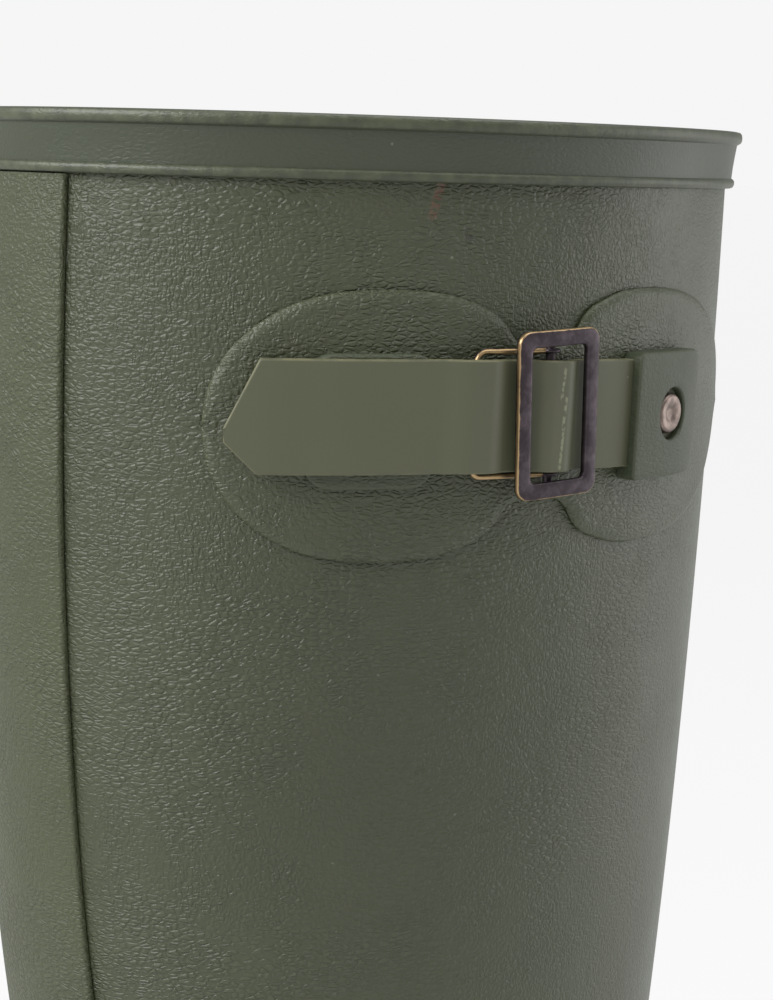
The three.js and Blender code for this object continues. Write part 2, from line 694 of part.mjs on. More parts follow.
// Patch under the strap: two rounded lobes joined by a neck. along is a share of
// patchLength, half a share of half the lobe's height.
const patchOutline = [
  { along: 0, half: 0 },
  { along: 0.012, half: 0.35 },
  { along: 0.05, half: 0.65 },
  { along: 0.13, half: 0.92 },
  { along: 0.24, half: 1 },
  { along: 0.34, half: 0.95 },
  { along: 0.41, half: 0.78 },
  { along: 0.445, half: neckShare },
  { along: 0.5, half: neckShare * 0.98 },
  { along: 0.535, half: neckShare * 1.06 },
  { along: 0.56, half: 0.8 },
  { along: 0.61, half: 0.93 },
  { along: 0.71, half: 1 },
  { along: 0.82, half: 0.95 },
  { along: 0.92, half: 0.74 },
  { along: 0.985, half: 0.36 },
  { along: 1, half: 0 },
];
const patchFoot = gap;
const patchTop = patchFoot + patchThickness;
const layerFoot = patchTop + gap;

function strapPatch() {
  const from = buckleGirth - patchReach;
  const round = (along) => 1 - shareAt(along);
  const half = curveThrough(
    patchOutline.map((row) => round(row.along)),
    patchOutline.map((row) => row.half),
  );
  const rows = evenly(0, 1, 30).map((share) => {
    const tall = Math.max(0, half(share)) * lobeHeight / 2;
    return {
      girth: from + patchLength * (1 - Math.cos(Math.PI * share)) / 2,
      top: patchDrop - tall,
      bottom: patchDrop + tall,
      low: patchFoot,
      high: patchTop,
    };
  });
  return layer(rows, 4);
}

// Strap: rests on the rear tab and the loop, dips under the frame's rear bar, crosses the
// centre bar, dips under the front bar and ends under the front tab. reach is a share of
// the stretch from buckle to tip (below 0) or to the hidden end (above 0). The lifts of its
// lower face are worked out from what it lies on. slip is how far it runs downhill.
const rearTabTop = layerFoot + rearTabThickness;
const tongueTop = loopLift + loopWire / 2 + 2 * gap;
const underRearBar = frameLift - frameThickness / 2 - 1.4 * gap - strapThickness;
const strapRoute = [
  { reach: -1, lift: rearTabTop + 6 * gap, slip: 0 },
  { reach: -0.9, lift: rearTabTop + 4 * gap, slip: 0 },
  { reach: -0.75, lift: rearTabTop + gap, slip: 0 },
  { reach: -0.4, lift: rearTabTop + gap, slip: 0 },
  { reach: -0.3, lift: tongueTop + gap, slip: 0.05 },
  { reach: -0.245, lift: tongueTop + gap, slip: 0.1 },
  { reach: -0.15, lift: underRearBar, slip: 0.2 },
  { reach: -0.105, lift: underRearBar, slip: 0.25 },
  { reach: -0.025, lift: barLift + barRadius + gap, slip: 0.35 },
  { reach: 0.03, lift: barLift + barRadius + gap, slip: 0.4 },
  { reach: 0.15, lift: layerFoot + gap, slip: 0.5 },
  { reach: 0.26, lift: layerFoot, slip: 0.6 },
  { reach: 1, lift: layerFoot, slip: 1 },
];

function strap() {
  const spanOf = (reach) => reach * (reach < 0 ? strapTipReach : strapEndReach);
  const route = (column) => curveThrough(
    strapRoute.map((row) => spanOf(row.reach)),
    strapRoute.map((row) => row[column]),
  );
  const liftAt = route('lift');
  const slipAt = route('slip');
  const places = [
    ...evenly(-strapTipReach, -strapTipReach + tipLength, 2),
    ...evenly(-strapTipReach + tipLength, -strapTipReach / 3, 8).slice(1),
    ...evenly(-strapTipReach / 3, strapEndReach / 3, 18).slice(1),
    ...evenly(strapEndReach / 3, strapEndReach, 7).slice(1),
  ];
  const rows = places.map((x) => {
    const open = Math.min(1, (x + strapTipReach) / tipLength);
    const middle = strapDrop + strapSlip * slipAt(x);
    return {
      girth: buckleGirth + x,
      top: middle + strapHeight * (tipTop * (1 - open) - 0.5 * open),
      bottom: middle + strapHeight * (tipBottom * (1 - open) + 0.5 * open),
      low: liftAt(x),
      high: liftAt(x) + strapThickness,
    };
  });
  return layer(rows, 3);
}

// Rear tab: a rounded flap with a tongue that the loop's far bar runs through.
function rearTab() {
  const middle = buckleGirth - rearTabReach;
  const flap = layer(roundPlaces(tabWidth, 12).map((x) => {
    const half = roundedHalf(x, tabWidth, tabHeight, tabCorner);
    const drop = strapDrop + 1;
    return {
      girth: middle + x,
      top: drop - half,
      bottom: drop + half,
      low: layerFoot,
      high: rearTabTop,
    };
  }), 4);
  const eye = buckleGirth - loopReach;
  const flapEdge = middle + tabWidth / 2;
  const eyeStart = eye - loopWire / 2 - gap;
  // The tongue's root is sunk in the flap, so that no two of their faces coincide.
  const sunk = rearTabThickness / 12;
  const rootTop = rearTabTop - sunk;
  const tongue = layer(evenly(middle + tabWidth / 4, eye + loopWire / 2 + 2 * gap, 8).map((girth) => {
    const risen = THREE.MathUtils.clamp((girth - flapEdge) / (eyeStart - flapEdge), 0, 1);
    return {
      girth,
      top: strapDrop - tongueHeight / 2,
      bottom: strapDrop + tongueHeight / 2,
      low: layerFoot + sunk,
      high: rootTop + (tongueTop - rootTop) * risen,
    };
  }), 2);
  const boreRadius = (loopWire + gap) / 2;
  const bore = bent(new THREE.CylinderGeometry(boreRadius, boreRadius, tabHeight, 12, 4)
    .translate(eye, -strapDrop, loopLift));
  return fromManifold(toManifold(flap).add(toManifold(tongue)).subtract(toManifold(bore)));
}

// Front tab: a rounded cover over the strap's end, with a pocket for it and a hole.
const strapEndTop = layerFoot + strapThickness;
const frontTabTop = strapEndTop + gap + frontTabThickness;
const frontTabGirth = buckleGirth + frontTabReach;

function frontTab() {
  const cover = layer(roundPlaces(tabWidth, 12).map((x) => {
    const half = roundedHalf(x, tabWidth, tabHeight, tabCorner);
    return {
      girth: frontTabGirth + x,
      top: frontTabDrop - half,
      bottom: frontTabDrop + half,
      low: layerFoot,
      high: frontTabTop,
    };
  }), 4);
  const pocketEnd = buckleGirth + strapEndReach + gap;
  const pocketStart = frontTabGirth - tabWidth;
  const pocketTall = strapHeight + 2 * gap + strapSlip / 4;
  const pocket = bent(new THREE.BoxGeometry(pocketEnd - pocketStart, pocketTall, strapEndTop + gap, 8, 1, 1)
    .translate((pocketStart + pocketEnd) / 2, -(strapDrop + strapSlip * 0.93), (strapEndTop + gap) / 2));
  const hole = bent(new THREE.CylinderGeometry(0.5, 0.5, 4 * frontTabTop, 24, 1).rotateX(Math.PI / 2)
    .scale(rivetHoleWidth, rivetHoleHeight, 1).translate(frontTabGirth, -frontTabDrop, 0));
  return fromManifold(toManifold(cover).subtract(toManifold(pocket)).subtract(toManifold(hole)));
}

// Rivet head in the front tab's hole: a low dome with a dimple, lying on the strap.
function frontRivet() {
  const radius = rivetHoleWidth / 2 - gap;
  const foot = strapEndTop + gap;
  const profile = [
    [0, foot],
    [radius, foot],
    [radius, foot + rivetThickness * 0.3],
    [radius * 0.75, foot + rivetThickness],
    [radius * 0.4, foot + rivetThickness * 0.9],
    [radius * 0.2, foot + rivetThickness * 0.5],
    [0, foot + rivetThickness * 0.5],
  ].map(([x, y]) => new THREE.Vector2(x, y));
  const dome = new THREE.LatheGeometry(profile, 20).rotateX(Math.PI / 2);
  return bent(dome.translate(frontTabGirth, -frontTabDrop, 0));
}

// Rounded rectangle outline.
function roundedRectangle(target, width, height, corner) {
  const [x, y] = [width / 2 - corner, height / 2 - corner];
  target.absarc(x, y, corner, 0, Math.PI / 2);
  target.absarc(-x, y, corner, Math.PI / 2, Math.PI);
  target.absarc(-x, -y, corner, Math.PI, 1.5 * Math.PI);
  target.absarc(x, -y, corner, 1.5 * Math.PI, 2 * Math.PI);
  target.closePath();
  return target;
}

// Buckle frame with its centre bar, which is carried on two lugs below the end bars.
function buckleFrame() {
  const [width, height] = [frameWidth - 2 * frameEdge, frameHeight - 2 * frameEdge];
  const outline = roundedRectangle(new THREE.Shape(), width, height, frameCorner);
  outline.holes.push(roundedRectangle(
    new THREE.Path(),
    frameWidth - 2 * frameBar + 2 * frameEdge,
    frameHeight - 2 * frameEndBar + 2 * frameEdge,
    frameCorner / 2,
  ));
  const ring = new THREE.ExtrudeGeometry(outline, {
    depth: frameThickness - 2 * frameEdge,
    bevelThickness: frameEdge,
    bevelSize: frameEdge,
    bevelSegments: 1,
    curveSegments: 3,
  }).translate(0, 0, frameEdge - frameThickness / 2);
  const fall = frameLift - barLift;
  const barHalf = frameHeight / 2 - barInset;
  const bar = new THREE.CylinderGeometry(barRadius, barRadius, 2 * barHalf, 12).translate(0, 0, -fall);
  const lugTall = barHalf - (frameHeight / 2 - frameEndBar) - gap / 3;
  const lugs = [1, -1].map((end) => new THREE.BoxGeometry(2 * barRadius, lugTall, fall + barRadius)
    .translate(0, end * (barHalf - lugTall / 2), -(fall + barRadius) / 2));
  const solid = [bar, ...lugs].reduce((all, piece) => all.add(toManifold(piece)), toManifold(ring));
  const geometry = fromManifold(solid);
  geometry.rotateY(THREE.MathUtils.degToRad(frameTilt));
  geometry.rotateZ(THREE.MathUtils.degToRad(frameTurn));
  return bent(geometry.translate(buckleGirth, -strapDrop, frameLift));
}

// Base loop: a far bar and two arms whose eyes turn on the frame's centre bar.
function buckleLoop() {
  const hole = barRadius + eyeClearance;
  const farBar = new THREE.CylinderGeometry(loopWire / 2, loopWire / 2, 2 * loopHalfHeight, 12)
    .translate(-loopReach, 0, loopLift);
  const arms = [1, -1].flatMap((end) => {
    const y = end * (loopHalfHeight - loopArm / 2);
    const lean = -y * Math.tan(THREE.MathUtils.degToRad(frameTurn));
    const ring = new THREE.Shape();
    ring.absarc(0, 0, hole + eyeWall, 0, 2 * Math.PI);
    const bore = new THREE.Path();
    bore.absarc(0, 0, hole, 0, 2 * Math.PI);
    ring.holes.push(bore);
    const eye = new THREE.ExtrudeGeometry(ring, { depth: loopArm, bevelEnabled: false, curveSegments: 9 })
      .translate(0, 0, -loopArm / 2).rotateX(Math.PI / 2).translate(lean, y, barLift);
    const reach = loopReach + lean - hole - eyeWall / 3;
    const arm = new THREE.BoxGeometry(reach, loopArm, loopWire * 0.8)
      .translate(-loopReach + reach / 2, y, (barLift + loopLift) / 2);
    return [eye, arm];
  });
  const solid = arms.reduce((all, piece) => all.add(toManifold(piece)), toManifold(farBar));
  return bent(fromManifold(solid).translate(buckleGirth, -strapDrop, 0));
}

const rubberGreen = new THREE.MeshStandardMaterial({ color: '#5a5f4c', roughness: 0.5, metalness: 0 });
const bandGreen = new THREE.MeshStandardMaterial({ color: '#5d624e', roughness: 0.45, metalness: 0 });
const stripGreen = new THREE.MeshStandardMaterial({ color: '#5f6346', roughness: 0.6, metalness: 0 });
const strapGreen = new THREE.MeshStandardMaterial({ color: '#585a48', roughness: 0.7, metalness: 0 });
const soleGreen = new THREE.MeshStandardMaterial({ color: '#3f4336', roughness: 0.75, metalness: 0 });
const padKhaki = new THREE.MeshStandardMaterial({ color: '#7a7358', roughness: 0.9, metalness: 0 });
const agedMetal = new THREE.MeshStandardMaterial({ color: '#4a3f40', roughness: 0.4, metalness: 0.9 });
const paleMetal = new THREE.MeshStandardMaterial({ color: '#b9a49c', roughness: 0.35, metalness: 0.9 });

const pieces = [
  ['outsole', outsole(), soleGreen],
  ['insole', insole(), padKhaki],
  ['upper', upper(), rubberGreen],
  ['collar_band', collarBand(), bandGreen],
  ['back_strip', backStrip(), stripGreen],
  ['strap_patch', strapPatch(), rubberGreen],
  ['rear_tab', rearTab(), rubberGreen],
  ['front_tab', frontTab(), rubberGreen],
  ['strap', strap(), strapGreen],
  ['buckle_frame', buckleFrame(), agedMetal],
  ['buckle_loop', buckleLoop(), agedMetal],
  ['front_rivet', frontRivet(), paleMetal],
];

const boot = new THREE.Group();
boot.rotation.z = Math.PI;
boot.position.y = heelLength / 2;
for (const [name, geometry, material] of pieces) {
  const mesh = new THREE.Mesh(geometry, material);
  mesh.name = name;
  boot.add(mesh);
}

const object = new THREE.Group();
object.add(boot);

export default object;
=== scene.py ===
"""Looks of a right rubber boot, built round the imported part.

Shapes are worked out in millimetres in the boot's own frame: x across towards the outer side,
y along from the heel back to the toe, z up from the floor. Meshes are stored in the part's
frame, in metres: toe to -Y, outer side to -X, origin under the middle of the heel. Places on
the shaft's outer side are given as a girth, measured round the shaft from the back centre
line, a drop below the collar's top, and a lift above the rubber's surface.
"""

import logging
import math
from collections.abc import Callable, Sequence
from dataclasses import dataclass, field
from enum import Enum

import bmesh
import bpy
import numpy as np
from mathutils import Matrix, Vector
from mathutils.bvhtree import BVHTree

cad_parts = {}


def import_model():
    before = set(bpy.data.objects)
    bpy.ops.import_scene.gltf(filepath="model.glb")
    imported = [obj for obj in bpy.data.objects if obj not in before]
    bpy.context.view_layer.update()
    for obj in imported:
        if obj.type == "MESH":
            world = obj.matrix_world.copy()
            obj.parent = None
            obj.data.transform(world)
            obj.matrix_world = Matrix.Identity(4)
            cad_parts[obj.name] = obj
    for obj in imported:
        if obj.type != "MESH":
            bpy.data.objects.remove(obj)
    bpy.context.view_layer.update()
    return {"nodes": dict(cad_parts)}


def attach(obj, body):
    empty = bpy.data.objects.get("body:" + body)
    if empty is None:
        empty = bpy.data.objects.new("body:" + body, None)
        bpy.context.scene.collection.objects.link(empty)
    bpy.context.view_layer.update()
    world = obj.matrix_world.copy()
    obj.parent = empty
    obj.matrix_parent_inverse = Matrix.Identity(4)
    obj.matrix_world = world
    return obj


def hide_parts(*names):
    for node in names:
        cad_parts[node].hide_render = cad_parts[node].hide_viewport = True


logging.basicConfig(level=logging.INFO, format="%(message)s")
log = logging.getLogger("boot")

Array = np.ndarray
HeightAt = Callable[[Array], Array]
Triple = tuple[float, float, float]


class Side(Enum):
    """Side of the boot, as the sign of x."""

    OUTER = 1
    INNER = -1


def evenly(start: float, end: float, steps: int) -> Array:
    """Even places from start to end, both included."""
    return np.linspace(start, end, steps + 1)


def rounded(start: float, end: float, steps: int) -> Array:
    """Places from start to end that lie closer together at both ends."""
    return start + (end - start) * (1 - np.cos(np.pi * evenly(0, 1, steps))) / 2


def unit(vectors: Array) -> Array:
    """Vectors brought to length one."""
    return vectors / np.maximum(np.linalg.norm(vectors, axis=-1, keepdims=True), 1e-12)


class Curve:
    """Smooth curve through points, made of cubics that never swing past a point."""

    def __init__(self, xs: Sequence[float], ys: Sequence[float], level_at: float | None = None):
        """Works out the slopes.

        Args:
            xs: Rising places.
            ys: Value at each place.
            level_at: One of xs where the curve is held level.
        """
        self.xs = np.asarray(xs, float)
        self.ys = np.asarray(ys, float)
        steps = np.diff(self.xs)
        secants = np.diff(self.ys) / steps
        mean = (steps[1:] * secants[:-1] + steps[:-1] * secants[1:]) / (steps[1:] + steps[:-1])
        limit = 3 * np.minimum(np.abs(secants[:-1]), np.abs(secants[1:]))
        inner = np.sign(mean) * np.minimum(np.abs(mean), limit)
        inner[secants[:-1] * secants[1:] <= 0] = 0
        self.slopes = np.zeros(len(self.xs))
        self.slopes[1:-1] = inner
        self.slopes[0] = 1.5 * secants[0] - 0.5 * self.slopes[1]
        self.slopes[-1] = 1.5 * secants[-1] - 0.5 * self.slopes[-2]
        if level_at is not None:
            self.slopes[np.isclose(self.xs, level_at)] = 0

    def __call__(self, x: Array) -> Array:
        """Values at x.

        Args:
            x: Places.

        Returns:
            Value at each place.
        """
        x = np.asarray(x, float)
        i = np.clip(np.searchsorted(self.xs, x, side="right") - 1, 0, len(self.xs) - 2)
        step = self.xs[i + 1] - self.xs[i]
        t = (x - self.xs[i]) / step
        rest = 1 - t
        return (
            self.ys[i] * (1 + 2 * t) * rest**2
            + self.ys[i + 1] * (1 + 2 * rest) * t**2
            + step * t * rest * (self.slopes[i] * rest - self.slopes[i + 1] * t)
        )


@dataclass(frozen=True)
class BootSizes:
    """Sizes of the boot, in millimetres."""

    foot_length: float = 292
    ball_width: float = 98
    instep_height: float = 106
    heel_height: float = 29
    forefoot_height: float = 15
    toe_spring: float = 11
    height: float = 385
    shaft_height: float = 145
    collar_depth: float = 150
    collar_width: float = 116
    shaft_centre: float = 54
    wall: float = 2.6
    gap: float = 0.3
    heel_length: float = 75
    arch_rise: float = 13
    lug_depth: float = 4.5
    # middle of the buckle: girth, drop
    buckle_girth: float = 97.3
    strap_drop: float = 47.6

    # Edge where upper and sole meet: along, outer, inner
    outline: tuple = (
        (0, 0, 0),
        (0.024, 0.2, 0.2),
        (0.06, 0.288, 0.288),
        (0.11, 0.326, 0.324),
        (0.2, 0.34, 0.334),
        (0.3, 0.35, 0.322),
        (0.4, 0.385, 0.303),
        (0.5, 0.437, 0.318),
        (0.6, 0.488, 0.386),
        (0.68, 0.506, 0.447),
        (0.76, 0.484, 0.484),
        (0.84, 0.422, 0.481),
        (0.91, 0.33, 0.434),
        (0.96, 0.22, 0.345),
        (0.988, 0.103, 0.23),
        (1, -0.06, 0.06),
    )
    # Sole: along, rise, spring, arch
    profile: tuple = (
        (0, 1, 0, 1),
        (0.2, 0.97, 0, 1),
        (0.34, 0.84, 0, 0.95),
        (0.43, 0.68, 0, 0.5),
        (0.5, 0.5, 0, 0.1),
        (0.62, 0.18, 0, 0),
        (0.72, 0.02, 0.01, 0),
        (0.8, 0, 0.1, 0),
        (0.9, 0, 0.44, 0),
        (1, 0, 1, 0),
    )
    # Foot sections: at, front, height, outer swell, inner swell, widest, fullness, ridge
    foot: tuple = (
        (0, 1, 0, 0, 0, 0.55, 2.2, 0.06),
        (0.05, 1.006, 0.125, 0.055, 0.056, 0.58, 2.2, 0.06),
        (0.1, 0.994, 0.255, 0.092, 0.094, 0.62, 2.2, 0.058),
        (0.2, 0.936, 0.44, 0.133, 0.133, 0.7, 2.2, 0.052),
        (0.3, 0.826, 0.565, 0.15, 0.142, 0.76, 2.1, 0.04),
        (0.4, 0.68, 0.715, 0.157, 0.195, 0.79, 1.95, 0.03),
        (0.5, 0.551, 0.9, 0.17, 0.24, 0.78, 1.9, 0.02),
        (0.6, 0.468, 1.09, 0.2, 0.265, 0.73, 1.92, 0.01),
        (0.7, 0.426, 1.25, 0.23, 0.25, 0.67, 1.96, 0.004),
        (0.8, 0.409, 1.36, 0.262, 0.262, 0.61, 2, 0),
        (0.85, 0.405, 1.405, 0.301, 0.301, 0.58, 2, 0),
        (0.9, 0.402, 1.445, 0.359, 0.359, 0.555, 2, 0),
        (0.95, 0.4005, 1.478, 0.398, 0.398, 0.537, 2, 0),
        (1, 0.4, 1.505, 0.412, 0.412, 0.53, 2, 0),
    )
    # Ankle sections: at, front rise, back rise, front, back, width, widest
    ankle: tuple = (
        (1.08, 0.02, 0.085, 0.003, 0.04, 0.704, 0.527),
        (1.17, 0.045, 0.19, 0.012, -0.04, 0.724, 0.52),
        (1.34, 0.11, 0.385, 0.038, -0.17, 0.775, 0.507),
        (1.51, 0.2, 0.58, 0.085, 0, 0.828, 0.5),
        (1.68, 0.34, 0.755, 0.155, 0.31, 0.872, 0.5),
        (1.84, 0.55, 0.89, 0.265, 0.57, 0.905, 0.5),
    )
    # Shaft sections: at, front, back, width
    shaft: tuple = (
        (2, 0.43, 0.74, 0.932),
        (2.33, 0.73, 0.96, 0.962),
        (2.66, 0.925, 1.045, 0.984),
        (3, 1, 1, 1),
    )


class BootForm:
    """The upper's surface. A section u runs 0 to 1 on the foot, to 2 on the ankle, to 3 on the
    shaft; v runs from the front centre line (0) to the lower edge or back centre line (1)."""

    def __init__(self, sizes: BootSizes):
        """Works out every curve from the sizes.

        Args:
            sizes: Sizes of the boot.
        """
        self.sizes = s = sizes
        edge = np.array(s.outline[::-1])
        place = self.share_at(edge[:, 0])
        self.edge_curves = {
            Side.OUTER: Curve(place, edge[:, 1] * s.ball_width),
            Side.INNER: Curve(place, -edge[:, 2] * s.ball_width),
        }
        sole = np.array(s.profile)
        self.rise, self.spring, self.arch = (
            Curve(sole[:, 0] * s.foot_length, sole[:, column]) for column in (1, 2, 3)
        )
        foot, ankle, shaft = (np.array(table) for table in (s.foot, s.ankle, s.shaft))
        at = np.concatenate([foot[:, 0], ankle[:, 0], shaft[:, 0]])
        self.shaft_foot = s.height - s.shaft_height
        throat = foot[-1, 1] * s.foot_length
        throat_height = s.heel_height + foot[-1, 2] * s.instep_height
        collar_front = s.shaft_centre + s.collar_depth / 2
        collar_back = s.shaft_centre - s.collar_depth / 2

        def through(foot_values: Array, ankle_values: Array, shaft_values: Array) -> Curve:
            """Curve through all sections, level where foot and leg meet."""
            return Curve(at, np.concatenate([foot_values, ankle_values, shaft_values]), 1)

        widths = (ankle[:, 5] * s.collar_width / 2, shaft[:, 3] * s.collar_width / 2)
        self.swell = {
            Side.OUTER: through(foot[:, 3] * s.ball_width, *widths),
            Side.INNER: through(foot[:, 4] * s.ball_width, *widths),
        }
        reach = collar_front - throat
        self.front = through(
            foot[:, 1] * s.foot_length, throat + reach * ankle[:, 3], throat + reach * shaft[:, 1]
        )
        self.widest = through(foot[:, 5], ankle[:, 6], np.full(len(shaft), 0.5))
        self.fullness = through(foot[:, 6], np.full(len(ankle), 2.0), np.full(len(shaft), 2.0))
        none = np.zeros(len(ankle)), np.zeros(len(shaft))
        self.ridge = through(-foot[:, 7] * s.ball_width, *none)
        self.top = Curve(foot[:, 0], foot[:, 2] * s.instep_height)
        leg = np.concatenate([[0], ankle[:, 4], shaft[:, 2]]) * collar_back
        self.back = Curve(np.concatenate([[1], ankle[:, 0], shaft[:, 0]]), leg, 1)
        places = np.concatenate([[1], ankle[:, 0], [2, 3]])
        self.ankle_front = self._heights(places, ankle[:, 1], throat_height)
        self.ankle_back = self._heights(places, ankle[:, 2], s.heel_height)
        self.column_at_girth = self._girths(3 - s.strap_drop / s.shaft_height)

    def _heights(self, places: Array, rises: Array, start: float) -> Curve:
        """Heights of a leg section's end, from start up to the collar.

        Args:
            places: Sections.
            rises: Shares of the way up.
            start: Height of the lowest section.

        Returns:
            Curve over the sections.
        """
        rise = np.concatenate([[0], rises, [1]])
        heights = start + (self.shaft_foot - start) * rise
        return Curve(places, np.append(heights, self.sizes.height))

    def _girths(self, u: float) -> Curve:
        """Curve that gives v from the girth round the outer side at section u.

        Args:
            u: Section.

        Returns:
            Curve from girth to v.
        """
        columns = evenly(1, 0, 90)
        points = self.face(np.full(columns.shape, u), columns, Side.OUTER)
        lengths = np.linalg.norm(np.diff(points, axis=0), axis=1)
        return Curve(np.concatenate([[0], np.cumsum(lengths)]), columns)

    def along_at(self, q: Array) -> Array:
        """Place along the foot for a share q of the edge, toe tip (0) to heel back (1)."""
        return self.sizes.foot_length * (1 + np.cos(np.pi * q)) / 2

    @staticmethod
    def share_at(along: Array) -> Array:
        """Share q of the edge for a share along the foot."""
        return np.arccos(2 * np.asarray(along) - 1) / np.pi

    def tread_height(self, along: Array) -> Array:
        """Height of the tread above the floor."""
        return self.sizes.toe_spring * self.spring(along)

    def under_height(self, along: Array) -> Array:
        """Height of the sole's underside.

        Args:
            along: Places along the foot.

        Returns:
            Heights.
        """
        s = self.sizes
        rise = s.lug_depth + (s.arch_rise - s.lug_depth) * self.arch(along)
        return self.tread_height(along) + rise

    def edge_height(self, along: Array) -> Array:
        """Height of the edge where upper and sole meet.

        Args:
            along: Places along the foot.

        Returns:
            Heights.
        """
        s = self.sizes
        fall = s.heel_height - s.forefoot_height
        return self.tread_height(along) + s.forefoot_height + fall * self.rise(along)

    def face(self, u: Array, v: Array, side: Side) -> Array:
        """Points of the upper's outer face.

        The upper part of a section is a quarter of a superellipse. The lower is an ellipse cut
        off at the edge, whose half width squared is that of the edge plus the swell squared.

        Args:
            u: Sections.
            v: Places round each section, same shape as u.
            side: Side of the boot.

        Returns:
            Points, with a last axis of three.
        """
        u, v = np.broadcast_arrays(np.asarray(u, float), np.asarray(v, float))
        on_foot = u <= 1
        q = np.minimum(u, 1)
        lower = np.where(on_foot, self.along_at(q), self.back(np.maximum(u, 1)))
        level = self.shaft_foot + (u - 2) * self.sizes.shaft_height
        leg = np.maximum(u, 1)
        lower_height = np.where(
            on_foot, self.edge_height(lower), np.where(u < 2, self.ankle_back(leg), level)
        )
        top = np.where(
            on_foot,
            self.edge_height(self.along_at(q)) + self.top(q),
            np.where(u < 2, self.ankle_front(leg), level),
        )
        ridge = self.ridge(u)
        edge = side.value * (self.edge_curves[side](q) - ridge)
        edge = np.where(on_foot, np.maximum(edge, 0), 0)
        swell = np.maximum(self.swell[side](u), 0)
        half = np.hypot(edge, swell)
        widest = self.widest(u)
        turn = np.pi * np.minimum(v, 0.5)
        power = 2 / self.fullness(u)
        high_across = half * np.sin(turn) ** power
        high_down = widest * (1 - np.maximum(np.cos(turn), 0) ** power)
        last = np.where(half > 0, np.arctan2(swell, edge), np.pi / 2)
        turn = last * np.maximum(2 * v - 1, 0)
        low_across = half * np.cos(turn)
        low_down = widest + (1 - widest) * np.sin(turn) / np.maximum(np.sin(last), 1e-9)
        across = np.where(v <= 0.5, high_across, low_across)
        down = np.where(v <= 0.5, high_down, low_down)
        front = self.front(u)
        return np.stack(
            [
                ridge + side.value * across,
                front + (lower - front) * down,
                top + (lower_height - top) * down,
            ],
            axis=-1,
        )

    def skin(self, u: Array, v: Array, side: Side, offset: Array) -> Array:
        """Points at a distance outside the face, level on the shaft and at the sole's edge.

        Args:
            u: Sections.
            v: Places round each section.
            side: Side of the boot.
            offset: Distance outside, in millimetres.

        Returns:
            Points, with a last axis of three.
        """
        u, v, offset = np.broadcast_arrays(*(np.asarray(x, float) for x in (u, v, offset)))
        step = 1e-3
        along_u = self.face(np.minimum(u + step, 3), v, side)
        along_u = along_u - self.face(np.maximum(u - step, step), v, side)
        along_v = self.face(u, np.minimum(v + step, 1), side)
        along_v = along_v - self.face(u, np.maximum(v - step, 0), side)
        normal = np.cross(along_u, along_v) * side.value
        middle = (v < 1e-6) | ((v > 1 - 1e-6) & (u > 1 - 1e-6))
        normal[..., 0] = np.where(middle, 0, normal[..., 0])
        flat = (u >= 2) | ((v > 1 - 1e-6) & (u <= 1))
        normal[..., 2] = np.where(flat, 0, normal[..., 2])
        normal = unit(normal)
        normal[u < 1e-6] = (0, 1, 0)
        return self.face(u, v, side) + normal * offset[..., None]

    def on_shaft(self, girth: Array, drop: Array, lift: Array) -> Array:
        """Points on the shaft's outer side, from their girth, drop and lift.

        Args:
            girth: Girths from the back centre line.
            drop: Drops below the collar.
            lift: Lifts above the rubber.

        Returns:
            Points.
        """
        values = (np.asarray(value, float) for value in (girth, drop, lift))
        girth, drop, lift = np.broadcast_arrays(*values)
        column = np.clip(self.column_at_girth(girth), 0, 1)
        return self.skin(3 - drop / self.sizes.shaft_height, column, Side.OUTER, lift)

    def shaft_place(self, girth: float, drop: float, lift: float = 0.0) -> Triple:
        """Place on the shaft's outer side, in the part's frame and in metres."""
        x, y, z = self.on_shaft(girth, drop, lift)
        return (-x / 1000, (self.sizes.heel_length / 2 - y) / 1000, z / 1000)

    def loop(self, offset: float, steps: int, height_at: HeightAt) -> Array:
        """Closed loop round the foot.

        Args:
            offset: How far it stands out from the sole's edge.
            steps: Steps on each side.
            height_at: Height for a place along the foot.

        Returns:
            Points: toe tip to heel back on the outer side, then back on the inner side. Point i
            lies across from point i counted from the end.
        """
        halves = []
        for side in Side:
            q = evenly(0, 1, steps)
            step = 1e-3
            before, after = np.maximum(q - step, 0), np.minimum(q + step, 1)
            curve = self.edge_curves[side]
            turn = np.stack(
                [
                    side.value * (self.along_at(before) - self.along_at(after)),
                    side.value * (curve(after) - curve(before)),
                ],
                axis=-1,
            )
            turn[[0, -1], 0] = 0
            out = unit(turn)
            along = self.along_at(q) + offset * out[:, 1]
            reach = np.clip(along, 0, self.sizes.foot_length)
            across = curve(q) + offset * out[:, 0]
            halves.append(np.stack([across, along, height_at(reach)], axis=-1))
        return np.concatenate([halves[0], halves[1][::-1]])


